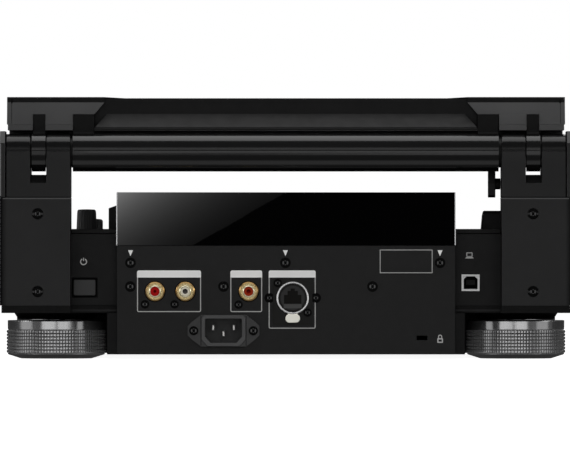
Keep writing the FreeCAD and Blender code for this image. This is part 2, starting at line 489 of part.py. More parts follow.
# Hinge barrel with its two neck blocks, and the outer knuckles with arms.
tube = cyl("X", "barrel_rad", "-barrel_half + 0.2", "barrel_half + 0.2", "axis_depth", "axis_height")
blocks = [box(126.3, 140.0, 190.4, 205.6, "axis_height", 161.0), box(-139.6, -126.3, 190.4, 205.6, "axis_height", 161.0)]
bores = [cyl("X", "hinge_pin_rad + running", 120.0, 145.0, "axis_depth", "axis_height"),
         cyl("X", "hinge_pin_rad + running", -145.0, -120.0, "axis_depth", "axis_height")]
groove = box(-169, 169, 216.4, 218, 137.0, 137.55)
node("hinge_barrel", cut(join(tube, *blocks), groove, *bores))
arms = []
for s in (1, -1):
    a, b = ("knuckle_in", "knuckle_out") if s > 0 else ("-knuckle_out", "-knuckle_in")
    disc = cyl("X", "barrel_rad", a, b, "axis_depth", "axis_height")
    aa, ab = (158.5, 166.3) if s > 0 else (-166.3, -158.5)
    arm = box(aa, ab, 190.4, 205.6, "axis_height", 161.0)
    arms.append(cut(join(disc, arm), groove, cyl("X", "hinge_pin_rad + running", a, b, "axis_depth", "axis_height")))
node("hinge_arms", group(*arms))

# Lock lever on the inner face of the left tower, below the barrel.
lever = prism("YZ", [(176.6, 108.0), (178.2, 106.4), (181.8, 106.4), (183.4, 108.0), (184.4, 115.4), (183.4, 124.0), (181.8, 125.6),
                     (178.2, 125.6), (176.6, 124.0), (175.6, 115.4)], -138.1, -133.2)
pin = cyl("X", 3.65, -141.4, -138.0, 180.0, 115.4)
node("lock_lever", join(lever, pin))

# ---------------------------------------------------------------- front and disc drive
fb = box(-184.2, 184.2, "bezel_front", "bezel_back", "base_top", 65.2)
dslot = box("-slot_half", "slot_half", -220, -205, "slot_low", "slot_high")
ehole = box(90.6, 107.4, -220, -205, 44.6, 50.4)
node("front_bezel", cut(fb, dslot, ehole))
node("eject_button", prism("XZ", [(91.0, 46.0), (92.0, 45.0), (106.0, 45.0), (107.0, 46.0), (107.0, 49.0), (106.0, 50.0), (92.0, 50.0), (91.0, 49.0)], -217.0, -209.0))
dc = box("-drive_half", "drive_half", "drive_front", "drive_rear", "base_top", "drive_top")
dv = box("-drive_half + 1.5", "drive_half - 1.5", "drive_front - 1", "drive_rear - 1.5", "base_top + 1.5", "drive_top - 1.5")
rr = [cyl("Y", 1.2, -129.0, "drive_rear - 1", x, 41.0) for x in (-20.0, 20.0)]
rb = [box(-23.0, -17.0, -131.0, -129.0, "base_top + 1", 43.0), box(17.0, 23.0, -131.0, -129.0, "base_top + 1", 43.0)]
node("drive_chassis", join(cut(dc, dv), *(rr + rb)))
node("feed_roller", cyl("X", 3.2, "-drive_half + 1.9", "drive_half - 1.9", -198.0, 41.0))
node("spindle_hub", at(turned([(0, 37.1), (12.0, 37.1), (12.0, 39.6), (14.5, 40.3), (14.5, 41.6), (7.4, 42.0), (6.4, 44.4), (0, 44.4)]), 0, "hub_depth"))
sled = box(-24.0, 24.0, -127.0, -113.0, 38.6, 43.4)
lens = cyl("Z", 3.0, 43.0, 44.3, 0, -120.0)
sb = [cyl("Y", 1.25, -128, -112, x, 41.0) for x in (-20.0, 20.0)]
node("optical_sled", cut(join(sled, lens), *sb))

# ---------------------------------------------------------------- boards inside
mb = box(-98, 98, -40, 150, 10.0, 11.6)
chips = [box(-40, -10, 20, 50, 11.6, 14.0), box(20, 44, 30, 54, 11.6, 13.6), box(-80, -60, 90, 120, 11.6, 22.0), box(-20, 10, 110, 140, 11.6, 20.0)]
posts = [cyl("Z", 3.0, "belly_low + 1.5", 10.1, x, y) for x in (-90, 90) for y in (-30, 140)]
node("main_board", join(mb, *(chips + posts)))
node("power_supply", join(box(24, 98, -150, -80 + 4, 8.0, 9.6), box(30, 52, -140, -112, 9.6, 26.0), box(60, 90, -135, -100, 9.6, 22.0),
                          cyl("Z", 6.0, 9.5, 28.0, 40.0, -95.0), *[cyl("Z", 2.5, "belly_low + 1.5", 8.1, x, y) for x in (30, 92) for y in (-144, -82)]))

# ---------------------------------------------------------------- check and write
doc.recompute()
bad = []
for o in doc.Objects:
    if "Invalid" in o.State or "Error" in o.State:
        bad.append("%s %s %s" % (o.Name, o.Label, o.State))
for label, obj in NODES:
    sh = obj.Shape
    if sh.isNull() or not sh.isValid() or not sh.Solids:
        bad.append("shape " + label)
if bad:
    print("\n".join(bad))
    sys.exit(1)
os.makedirs("parts", exist_ok=True)
whole = FreeCAD.BoundBox()
for label, obj in NODES:
    obj.Shape.exportStep(os.path.join("parts", label + ".step"))
    whole.add(obj.Shape.BoundBox)
print(len(NODES), "nodes", [round(v, 2) for v in (whole.XMin, whole.XMax, whole.YMin, whole.YMax, whole.ZMin, whole.ZMax)])
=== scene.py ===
import bpy
import bmesh
import math
from mathutils import Vector, Matrix, noise


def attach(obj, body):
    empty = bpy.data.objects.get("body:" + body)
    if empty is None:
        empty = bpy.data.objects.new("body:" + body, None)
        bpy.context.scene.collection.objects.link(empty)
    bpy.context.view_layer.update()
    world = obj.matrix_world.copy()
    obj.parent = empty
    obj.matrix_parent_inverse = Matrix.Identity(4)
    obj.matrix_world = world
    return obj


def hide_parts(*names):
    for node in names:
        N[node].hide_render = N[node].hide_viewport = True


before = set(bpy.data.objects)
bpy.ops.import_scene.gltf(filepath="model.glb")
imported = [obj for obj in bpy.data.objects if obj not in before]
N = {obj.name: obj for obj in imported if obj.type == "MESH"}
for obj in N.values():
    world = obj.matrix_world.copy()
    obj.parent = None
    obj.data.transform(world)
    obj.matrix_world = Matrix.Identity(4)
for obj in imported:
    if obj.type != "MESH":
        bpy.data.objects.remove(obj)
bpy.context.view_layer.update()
MM = 0.001

# ------------------------------------------------------------------ camera
# Level view from the connector side, from so far away that it is nearly parallel.
cam_data = bpy.data.cameras.new("camera")
cam = bpy.data.objects.new("camera", cam_data)
bpy.context.scene.collection.objects.link(cam)
DIST = 9.0
cam.location = (0.00066, 0.205 + DIST, 0.0863)
cam.rotation_euler = (math.radians(90), 0, math.radians(180))
cam_data.sensor_width = 36.0
cam_data.lens = 36.0 * DIST / 0.375
cam_data.clip_start = 0.5
cam_data.clip_end = 80.0
bpy.context.scene.camera = cam


# ------------------------------------------------------------------ materials
def mat(name):
    m = bpy.data.materials.new(name)
    m.use_nodes = True
    nt = m.node_tree
    for n in list(nt.nodes):
        nt.nodes.remove(n)
    out = nt.nodes.new("ShaderNodeOutputMaterial")
    bs = nt.nodes.new("ShaderNodeBsdfPrincipled")
    nt.links.new(bs.outputs[0], out.inputs[0])
    return m, nt, bs


def coords(nt, scale=(1, 1, 1)):
    tc = nt.nodes.new("ShaderNodeTexCoord")
    mp = nt.nodes.new("ShaderNodeMapping")
    mp.inputs["Scale"].default_value = scale
    nt.links.new(tc.outputs["Object"], mp.inputs["Vector"])
    return mp.outputs[0]


def tex_noise(nt, vec, scale, detail=3.0, rough=0.5):
    n = nt.nodes.new("ShaderNodeTexNoise")
    n.inputs["Scale"].default_value = scale
    n.inputs["Detail"].default_value = detail
    n.inputs["Roughness"].default_value = rough
    nt.links.new(vec, n.inputs["Vector"])
    return n.outputs["Fac"]


def ramp(nt, fac, stops):
    r = nt.nodes.new("ShaderNodeValToRGB")
    els = r.color_ramp.elements
    while len(els) > 1:
        els.remove(els[-1])
    els[0].position = stops[0][0]
    els[0].color = (*stops[0][1], 1)
    for p, c in stops[1:]:
        e = els.new(p)
        e.color = (*c, 1)
    nt.links.new(fac, r.inputs[0])
    return r.outputs[0]


def remap(nt, fac, a, b, c, d):
    r = nt.nodes.new("ShaderNodeMapRange")
    r.inputs[1].default_value = a
    r.inputs[2].default_value = b
    r.inputs[3].default_value = c
    r.inputs[4].default_value = d
    nt.links.new(fac, r.inputs[0])
    return r.outputs[0]


def bump(nt, bs, height, strength, dist):
    b = nt.nodes.new("ShaderNodeBump")
    b.inputs["Strength"].default_value = strength
    b.inputs["Distance"].default_value = dist
    nt.links.new(height, b.inputs["Height"])
    nt.links.new(b.outputs[0], bs.inputs["Normal"])
    return b


def painted(name, col, rough, grain=2600.0, depth=0.00004, var=0.15, metallic=0.0, spec=0.5, wear=0.0, strength=0.5):
    """Fine textured paint or moulded plastic: grain in bump, colour and roughness variation, light rubbing on edges."""
    m, nt, bs = mat(name)
    v = coords(nt)
    fine = tex_noise(nt, v, grain, 2.0, 0.6)
    wide = tex_noise(nt, v, 14.0, 5.0, 0.6)
    mid = tex_noise(nt, v, 180.0, 4.0, 0.55)
    lo = tuple(c * (1 - var) for c in col)
    hi = tuple(c * (1 + var) for c in col)
    colour = ramp(nt, wide, [(0.3, lo), (0.7, hi)])
    if wear > 0:
        geo = nt.nodes.new("ShaderNodeNewGeometry")
        edge = remap(nt, geo.outputs["Pointiness"], 0.52, 0.62, 0.0, 1.0)
        mul = nt.nodes.new("ShaderNodeMath")
        mul.operation = "MULTIPLY"
        nt.links.new(edge, mul.inputs[0])
        nt.links.new(remap(nt, mid, 0.45, 0.7, 0.0, wear), mul.inputs[1])
        mix = nt.nodes.new("ShaderNodeMix")
        mix.data_type = "RGBA"
        nt.links.new(mul.outputs[0], mix.inputs[0])
        nt.links.new(colour, mix.inputs[6])
        mix.inputs[7].default_value = (col[0] * 4 + 0.03, col[1] * 4 + 0.03, col[2] * 4 + 0.03, 1)
        colour = mix.outputs[2]
    nt.links.new(colour, bs.inputs["Base Color"])
    bs.inputs["Metallic"].default_value = metallic
    bs.inputs["Specular IOR Level"].default_value = spec
    r = nt.nodes.new("ShaderNodeMath")
    r.operation = "ADD"
    nt.links.new(remap(nt, mid, 0.3, 0.7, rough - 0.05, rough + 0.03), r.inputs[0])
    nt.links.new(remap(nt, wide, 0.3, 0.7, -0.02, 0.03), r.inputs[1])
    nt.links.new(r.outputs[0], bs.inputs["Roughness"])
    bump(nt, bs, fine, strength, depth)
    return m


def op(nt, kind, a, b=None):
    n = nt.nodes.new("ShaderNodeMath")
    n.operation = kind
    for k, e in enumerate((a, b)):
        if e is None:
            continue
        if isinstance(e, float):
            n.inputs[k].default_value = e
        else:
            nt.links.new(e, n.inputs[k])
    return n.outputs[0]


def split(nt):
    sep = nt.nodes.new("ShaderNodeSeparateXYZ")
    nt.links.new(coords(nt), sep.inputs[0])
    return sep.outputs


def blend_colour(nt, fac, a, b):
    mix = nt.nodes.new("ShaderNodeMix")
    mix.data_type = "RGBA"
    nt.links.new(fac, mix.inputs[0])
    nt.links.new(a, mix.inputs[6])
    nt.links.new(b, mix.inputs[7])
    return mix.outputs[2]


def grained(nt, fac, col, var=0.12):
    return ramp(nt, fac, [(0.3, tuple(c * (1 - var) for c in col)), (0.7, tuple(c * (1 + var) for c in col))])


def shell_paint_lit_and_shaded(name, top, side, middle, rough, spec, under=(0.040, 0.040, 0.0403)):
    """Display shell with painted light and shade: rear cheeks painted lighter, and lighter towards the top, where they
    tilt up to the top light; the middle between the neck blocks painted darker as recess shade; black top; the
    underside painted lighter than black, as light reaching the gap under the display.
    """
    m, nt, bs = mat(name)
    v = coords(nt)
    fine = tex_noise(nt, v, 2600.0, 2.0, 0.6)
    wide = tex_noise(nt, v, 14.0, 5.0, 0.6)
    mid = tex_noise(nt, v, 180.0, 4.0, 0.55)
    x, y, z = split(nt)
    inside = op(nt, "LESS_THAN", op(nt, "ABSOLUTE", x), 0.1262)
    corner = op(nt, "MULTIPLY", op(nt, "GREATER_THAN", y, 0.1995), op(nt, "GREATER_THAN", z, 0.1613))
    # Painted shade: the recessed middle between the neck blocks gets the darker colour.
    centre = op(nt, "MULTIPLY", op(nt, "MULTIPLY", inside, op(nt, "GREATER_THAN", y, 0.195)), op(nt, "SUBTRACT", 1.0, corner))
    # Painted light: the up-tilted rear cheeks get the lighter colour, brighter towards the top.
    lit_cheek_mask = op(nt, "MULTIPLY", op(nt, "GREATER_THAN", y, 0.1988), op(nt, "LESS_THAN", z, 0.1690))
    lit = blend_colour(nt, remap(nt, z, 0.150, 0.169, 0.0, 1.0), grained(nt, wide, side), grained(nt, wide, tuple(c * 1.28 for c in side)))
    col = blend_colour(nt, lit_cheek_mask, grained(nt, wide, top), lit)
    col = blend_colour(nt, centre, col, grained(nt, wide, middle))
    # Painted light: below the shell's lower edge the colour is lighter, for light reaching the gap.
    nt.links.new(blend_colour(nt, op(nt, "LESS_THAN", z, 0.1507), col, grained(nt, wide, under)), bs.inputs["Base Color"])
    nt.links.new(op(nt, "ADD", remap(nt, mid, 0.3, 0.7, rough - 0.05, rough + 0.04), remap(nt, z, 0.1711, 0.1716, 0.0, 0.42)), bs.inputs["Roughness"])
    bs.inputs["Specular IOR Level"].default_value = spec
    bump(nt, bs, fine, 0.5, 0.00004)
    return m


def zoned_gloss_and_shade(name, col, rough_a, rough_b, edge, spec, grain=2600.0, depth=0.00002, var=0.1, upper=None, soft=0.00005):
    """Paint that changes gloss above a height: turned parts shine, flat faces are satin. A second colour above the
    height paints shade: one zone of the part is painted darker than the other.
    """
    m, nt, bs = mat(name)
    v = coords(nt)
    fine = tex_noise(nt, v, grain, 2.0, 0.6)
    wide = tex_noise(nt, v, 14.0, 5.0, 0.6)
    mid = tex_noise(nt, v, 180.0, 4.0, 0.55)
    x, y, z = split(nt)
    above = remap(nt, z, edge - soft, edge + soft, 0.0, 1.0)
    nt.links.new(blend_colour(nt, above, grained(nt, wide, col, var), grained(nt, wide, upper or col, var)), bs.inputs["Base Color"])
    base = op(nt, "ADD", op(nt, "MULTIPLY", above, rough_b - rough_a), rough_a)
    nt.links.new(op(nt, "ADD", base, remap(nt, mid, 0.3, 0.7, -0.02, 0.02)), bs.inputs["Roughness"])
    bs.inputs["Specular IOR Level"].default_value = spec
    bump(nt, bs, fine, 0.4, depth)
    return m


def corner_shade_paint(name, col, rough, spec, x0, x1):
    """Tower paint with painted shade: the colour darkens to near black over the rounded outer corner, where the face
    turns away from the light.
    """
    m, nt, bs = mat(name)
    v = coords(nt)
    wide = tex_noise(nt, v, 14.0, 5.0, 0.6)
    mid = tex_noise(nt, v, 180.0, 4.0, 0.55)
    x, y, z = split(nt)
    # Painted shade towards the outer corner.
    out = remap(nt, op(nt, "ABSOLUTE", x), x0, x1, 0.0, 1.0)
    nt.links.new(blend_colour(nt, out, grained(nt, wide, col), grained(nt, wide, tuple(c * 0.02 for c in col))), bs.inputs["Base Color"])
    nt.links.new(remap(nt, mid, 0.3, 0.7, rough - 0.05, rough + 0.04), bs.inputs["Roughness"])
    bs.inputs["Specular IOR Level"].default_value = spec
    bump(nt, bs, tex_noise(nt, v, 2600.0, 2.0, 0.6), 0.5, 0.00004)
    return m


def deck_paint_rear_shadow(name, col, rear_shadow_col, rough, spec):
    """Deck plastic with a painted shadow: its rear edge face is painted near black for the shadow of the joint."""
    m, nt, bs = mat(name)
    v = coords(nt)
    wide = tex_noise(nt, v, 14.0, 5.0, 0.6)
    mid = tex_noise(nt, v, 180.0, 4.0, 0.55)
    x, y, z = split(nt)
    # Painted shadow on the rear edge face.
    rear = op(nt, "GREATER_THAN", y, 0.1956)
    nt.links.new(blend_colour(nt, rear, grained(nt, wide, col), grained(nt, wide, rear_shadow_col)), bs.inputs["Base Color"])
    nt.links.new(remap(nt, mid, 0.3, 0.7, rough - 0.05, rough + 0.04), bs.inputs["Roughness"])
    bs.inputs["Specular IOR Level"].default_value = spec
    bump(nt, bs, tex_noise(nt, v, 2200.0, 2.0, 0.6), 0.5, 0.00004)
    return m


def brushed(name, col, rough, axis, scale=900.0, metallic=1.0, depth=0.00002, var=0.12):
    """Brushed or spun metal: grain stretched along one axis."""
    m, nt, bs = mat(name)
    s = [1.0, 1.0, 1.0]
    s[axis] = 0.02
    v = coords(nt, tuple(s))
    g = tex_noise(nt, v, scale, 3.0, 0.6)
    w = tex_noise(nt, coords(nt), 30.0, 3.0, 0.5)
    nt.links.new(ramp(nt, g, [(0.3, tuple(c * (1 - var) for c in col)), (0.7, tuple(min(1, c * (1 + var)) for c in col))]), bs.inputs["Base Color"])
    bs.inputs["Metallic"].default_value = metallic
    add = nt.nodes.new("ShaderNodeMath")
    add.operation = "ADD"
    nt.links.new(remap(nt, g, 0.3, 0.7, rough - 0.06, rough + 0.06), add.inputs[0])
    nt.links.new(remap(nt, w, 0.3, 0.7, -0.03, 0.04), add.inputs[1])
    nt.links.new(add.outputs[0], bs.inputs["Roughness"])
    bump(nt, bs, g, 0.35, depth)
    return m


def glossy(name, col, rough=0.06, coat=0.0, ior=1.5, var=0.1, haze=0.04):
    """Polished plastic or glass face, with the faint wiping haze of real gloss."""
    m, nt, bs = mat(name)
    v = coords(nt)
    w = tex_noise(nt, v, 22.0, 5.0, 0.65)
    f = tex_noise(nt, coords(nt, (1, 1, 6)), 320.0, 3.0, 0.6)
    nt.links.new(ramp(nt, w, [(0.3, tuple(c * (1 - var) for c in col)), (0.7, tuple(c * (1 + var) for c in col))]), bs.inputs["Base Color"])
    add = nt.nodes.new("ShaderNodeMath")
    add.operation = "ADD"
    nt.links.new(remap(nt, w, 0.35, 0.75, rough, rough + haze), add.inputs[0])
    nt.links.new(remap(nt, f, 0.4, 0.8, 0.0, haze * 0.4), add.inputs[1])
    nt.links.new(add.outputs[0], bs.inputs["Roughness"])
    bs.inputs["IOR"].default_value = ior
    bs.inputs["Coat Weight"].default_value = coat
    bs.inputs["Coat Roughness"].default_value = 0.03
    bump(nt, bs, tex_noise(nt, v, 60.0, 2.0, 0.5), 0.05, 0.0001)
    return m


def glowing(name, col, strength, base=(0.05, 0.05, 0.05)):
    m, nt, bs = mat(name)
    v = coords(nt)
    w = tex_noise(nt, v, 500.0, 2.0, 0.5)
    nt.links.new(ramp(nt, w, [(0.3, tuple(c * 0.9 for c in base)), (0.7, base)]), bs.inputs["Base Color"])
    bs.inputs["Roughness"].default_value = 0.3
    bs.inputs["Emission Color"].default_value = (*col, 1)
    bs.inputs["Emission Strength"].default_value = strength
    return m


M = {
    # Lower towers: painted shade over the outer rounded corner.
    "tower": corner_shade_paint("tower_paint_corner_shade", (0.0176, 0.0176, 0.0179), 0.44, 0.16, 0.1835, 0.1868),
    # Painted highlights for the tower seam and the side plates' outer edges.
    "seam_highlight": painted("painted_seam_highlight", (0.064, 0.064, 0.0643), 0.4, spec=0.32),
    "plate_edge_highlight": painted("painted_plate_edge_highlight", (0.150, 0.150, 0.151), 0.4, spec=0.3),
    # Upper towers: painted shade, the curved nose darker than the flat face.
    "tower_top": zoned_gloss_and_shade("tower_top_paint_nose_shade", (0.0075, 0.0075, 0.0077), 0.44, 0.17, 0.1355, 0.32, depth=0.00001, upper=(0.0040, 0.0040, 0.0041), soft=0.006),
    # Hinge barrel and arms: painted shade, darker over the top.
    "barrel": zoned_gloss_and_shade("barrel_paint_top_shade", (0.0038, 0.0038, 0.0039), 0.15, 0.95, 0.14885, 0.5, grain=3200.0, depth=0.000006, upper=(0.0016, 0.0016, 0.0016)),
    "panel": painted("panel_coat", (0.0062, 0.0062, 0.0063), 0.50, grain=2000, depth=0.00005, spec=0.3),
    "cover": painted("side_cover_coat", (0.0030, 0.0030, 0.0031), 0.48, grain=2200, spec=0.24),
    "cover_lip_highlight": painted("cover_lip_highlight", (0.0052, 0.0052, 0.0053), 0.5, spec=0.3),
    "belly": painted("belly_coat", (0.0030, 0.0030, 0.0031), 0.55, grain=1800, spec=0.2),
    # Display shell and rim: painted light on the rear cheeks and underside, painted shade in the middle.
    "shell": shell_paint_lit_and_shaded("display_shell_painted_light", (0.0014, 0.0014, 0.0015), (0.050, 0.050, 0.0505), (0.0030, 0.0030, 0.0031), 0.5, 0.22),
    "rim": shell_paint_lit_and_shaded("display_rim_painted_light", (0.005, 0.005, 0.0051), (0.046, 0.046, 0.0465), (0.0030, 0.0030, 0.0031), 0.42, 0.24),
    "trim": painted("trim_black", (0.0040, 0.0040, 0.0041), 0.42, spec=0.3),
    "deck": deck_paint_rear_shadow("deck_plastic_rear_shadow", (0.0060, 0.0060, 0.0061), (0.0002, 0.0002, 0.0002), 0.42, 0.22),
    "front": painted("front_plastic", (0.014, 0.014, 0.0143), 0.42, grain=2400, spec=0.4, wear=0.2),
    # Side plates: painted shade, darker below the tower seam.
    "side": zoned_gloss_and_shade("side_plate_paint_low_shade", (0.0008, 0.0008, 0.0008), 0.95, 0.30, 0.1063, 0.4, grain=3000.0, depth=0.00001, upper=(0.0020, 0.0020, 0.0020)),
    "neck": painted("neck_plastic_and_base_shade", (0.002, 0.002, 0.002), 0.5, spec=0.15),
    "gloss": glossy("gloss_black", (0.0013, 0.0013, 0.0014), 0.008, haze=0.008),
    "glass": glossy("touch_glass_black", (0.004, 0.0042, 0.005), 0.03, coat=0.6),
    "edge": brushed("polished_edge", (0.72, 0.72, 0.73), 0.18, 2),
    "foot": brushed("foot_metal", (0.56, 0.56, 0.565), 0.18, 2, scale=1400, metallic=0.90, depth=0.000003, var=0.04),
    "foot_groove": painted("foot_groove", (0.26, 0.26, 0.262), 0.45, metallic=0.25),
    "foot_dark": painted("foot_base_paint", (0.075, 0.075, 0.0755), 0.45),
    "inlet": painted("inlet_plastic", (0.014, 0.014, 0.0145), 0.36, grain=2800, spec=0.4),
    "inlet_ears": painted("inlet_ear_plastic", (0.030, 0.030, 0.0305), 0.40, grain=2800, spec=0.4),
    "inlet_rim": painted("inlet_rim_plastic", (0.052, 0.052, 0.053), 0.40, grain=2800, spec=0.5),
    "cavity": painted("dark_plastic", (0.0025, 0.0025, 0.0026), 0.55, spec=0.2),
    "cup": painted("socket_plastic", (0.012, 0.012, 0.0118), 0.42, spec=0.4),
    "sill": painted("socket_sill", (0.045, 0.045, 0.044), 0.42, spec=0.4),
    "blade": brushed("blade_nickel", (0.86, 0.85, 0.82), 0.30, 1),
    "gold": brushed("gold_plate", (0.84, 0.68, 0.36), 0.24, 1, scale=1200, var=0.08),
    "gold_shade": brushed("gold_plate_painted_shade", (0.52, 0.32, 0.12), 0.30, 1, scale=1200, var=0.08),
    "gold_highlight": brushed("gold_plate_painted_highlight", (0.90, 0.84, 0.60), 0.30, 1, scale=1200, var=0.06),
    "red": painted("insert_red", (0.34, 0.003, 0.003), 0.38, var=0.1, spec=0.1),
    "white": painted("insert_white", (0.78, 0.74, 0.62), 0.38, var=0.06, spec=0.15),
    "orange": painted("insert_orange", (0.30, 0.022, 0.003), 0.38, var=0.1, spec=0.1),
    "silver": brushed("ring_silver", (0.80, 0.80, 0.80), 0.24, 2),
    "port": brushed("port_metal", (0.66, 0.66, 0.66), 0.34, 0),
    "screw": painted("screw_black", (0.0012, 0.0012, 0.0012), 0.4, grain=3000, spec=0.06),
    # Painted highlight colour for the screw heads.
    "screw_glint": painted("screw_glint", (0.075, 0.075, 0.076), 0.45, grain=3000, metallic=0.3),
    "cream": painted("latch_cream", (0.985, 0.97, 0.87), 0.34, var=0.015),
    "print": painted("print_grey", (0.44, 0.44, 0.435), 0.6, var=0.05, depth=0.00001, spec=0.15),
    "print_light": painted("print_light", (0.90, 0.90, 0.89), 0.6, var=0.04, depth=0.00001, spec=0.15),
    "print_dim": painted("print_dim", (0.16, 0.16, 0.16), 0.5, var=0.05, depth=0.00001),
    "insert_hole": painted("insert_hole", (0.16, 0.15, 0.14), 0.5, spec=0.1),
    "net_plate": painted("socket_plate", (0.0056, 0.0055, 0.0050), 0.5, spec=0.25),
    "socket_shade": painted("socket_depth_painted_shade", (0.0035, 0.0033, 0.0026), 0.55, spec=0.15),
    # Near black for dark joints and seams, also used as painted shade on the panel dimples and the foot tops.
    "groove": painted("groove_dark", (0.001, 0.001, 0.001), 0.7, spec=0.1),
    "button": painted("button_black", (0.022, 0.022, 0.0223), 0.4, grain=3000, spec=0.4),
    "flap": painted("flap_black", (0.006, 0.006, 0.0061), 0.36, grain=3000, spec=0.4),
    "button_grey": painted("button_grey", (0.10, 0.10, 0.105), 0.35, grain=3000),
    "rubber": painted("soft_touch", (0.014, 0.014, 0.0143), 0.5, grain=3400, depth=0.00004, spec=0.4),
    "jog": brushed("jog_metal", (0.30, 0.30, 0.31), 0.32, 0, scale=700),
    "jog_rim": painted("jog_rim_coat", (0.05, 0.05, 0.052), 0.26, grain=3000, metallic=0.6),
    "screen": glossy("screen_black", (0.003, 0.0035, 0.004), 0.04, coat=0.5),
    "board": painted("board_green", (0.02, 0.13, 0.06), 0.4, grain=500, depth=0.00008),
    "steel": brushed("formed_steel", (0.55, 0.56, 0.57), 0.34, 0),
    "pin": painted("pin_black", (0.004, 0.004, 0.004), 0.5, spec=0.2),
    "lamp_green": glowing("lamp_green", (0.1, 1.0, 0.25), 1.6),
    "lamp_orange": glowing("lamp_orange", (1.0, 0.38, 0.03), 1.6),
    "lamp_white": glowing("lamp_white", (0.8, 0.9, 1.0), 1.0),
    "lamp_blue": glowing("lamp_blue", (0.1, 0.4, 1.0), 1.2),
}

NODE_MAT = {
    # The base plate takes the near-black neck plastic as painted shade under the towers.
    "bottom_chassis": "belly", "base_plate": "neck", "rear_panel": "panel", "gloss_panel": "gloss",
    "rear_cover_left": "cover", "rear_cover_right": "cover", "tower_lower_left": "tower", "tower_lower_right": "tower",
    "tower_upper_left": "tower_top", "tower_upper_right": "tower_top", "side_plate_left": "side", "side_plate_right": "side",
    "hinge_barrel": "barrel", "hinge_arms": "barrel", "hinge_pins": "pin", "display_cover": "shell",
    "display_bezel": "rim", "touch_glass": "glass", "lcd_panel": "steel", "display_hump": "cover", "needle_pad": "screen",
    "top_deck": "deck", "port_housing": "cover", "port_flap": "flap", "speed_knob": "rubber", "selector_knob": "rubber",
    "lock_lever": "trim", "power_button": "button", "mains_inlet": "inlet_ears", "coax_jacks": "gold",
    "network_connector": "net_plate", "network_latch": "cream", "data_port": "port", "case_screws": "screw",
    "foot_rear_left": "foot", "foot_rear_right": "foot", "foot_front_left": "foot", "foot_front_right": "foot",
    "foot_necks": "neck", "jog_bearing": "steel", "jog_display": "screen", "jog_plate": "jog", "jog_rim": "jog_rim",
    "play_button": "button_grey", "cue_button": "button_grey", "track_back_button": "button_grey",
    "track_next_button": "button_grey", "loop_in_button": "button_grey", "loop_out_button": "button_grey",
    "panel_board": "board", "tempo_rail": "cavity", "tempo_knob": "rubber", "front_bezel": "front",
    "eject_button": "button_grey", "drive_chassis": "steel", "feed_roller": "rubber", "spindle_hub": "cavity",
    "optical_sled": "cavity", "main_board": "board", "power_supply": "board",
}
SOFT_EDGE = {"display_cover": 0.25, "tower_upper_left": 0.5, "tower_upper_right": 0.5, "tower_lower_left": 0.55, "tower_lower_right": 0.55,
             "network_latch": 0.6, "power_button": 0.7, "lock_lever": 0.8,
             "side_plate_left": 0.7, "side_plate_right": 0.7, "top_deck": 0.3, "front_bezel": 0.6, "display_hump": 0.6, "gloss_panel": 0.15,
             "port_housing": 0.9, "port_flap": 0.35, "rear_panel": 0.15, "rear_cover_left": 0.2, "rear_cover_right": 0.3, "data_port": 0.2,
             "display_bezel": 0.4, "eject_button": 0.4, "jog_plate": 0.3, "jog_rim": 0.3, "play_button": 0.5, "cue_button": 0.5,
             "track_back_button": 0.4, "track_next_button": 0.4, "loop_in_button": 0.4, "loop_out_button": 0.4, "tempo_knob": 0.5,
             "selector_knob": 0.35, "speed_knob": 0.3, "base_plate": 0.3, "bottom_chassis": 0.25, "needle_pad": 0.1}
for name, key in NODE_MAT.items():
    o = N[name]
    o.data.materials.clear()
    o.data.materials.append(M[key])
    if name in SOFT_EDGE:
        w = o.modifiers.new("weld", "WELD")
        w.merge_threshold = 0.000002
        d = o.modifiers.new("flats", "DECIMATE")
        d.decimate_type = "DISSOLVE"
        d.angle_limit = math.radians(0.6)
        b = o.modifiers.new("bevel", "BEVEL")
        b.width = SOFT_EDGE[name] * MM
        b.segments = 3
        b.limit_method = "ANGLE"
        b.angle_limit = math.radians(38)
        b.use_clamp_overlap = True
        b.harden_normals = False
        b.miter_outer = "MITER_ARC"


# ------------------------------------------------------------------ mesh helpers
def obj_from(name, verts, faces, mats, face_mats=None, smooth=None):
    me = bpy.data.meshes.new(name)
    me.from_pydata([tuple(c * MM for c in v) for v in verts], [], faces)
    for m in (mats if isinstance(mats, (list, tuple)) else [mats]):
        me.materials.append(m)
    if face_mats:
        for p, k in zip(me.polygons, face_mats):
            p.material_index = k
    bm = bmesh.new()
    bm.from_mesh(me)
    bmesh.ops.recalc_face_normals(bm, faces=bm.faces)
    bm.to_mesh(me)
    bm.free()
    if smooth is not None:
        me.polygons.foreach_set("use_smooth", [True] * len(me.polygons))
        me.set_sharp_from_angle(angle=math.radians(smooth))
    o = bpy.data.objects.new(name, me)
    bpy.context.scene.collection.objects.link(o)
    return o


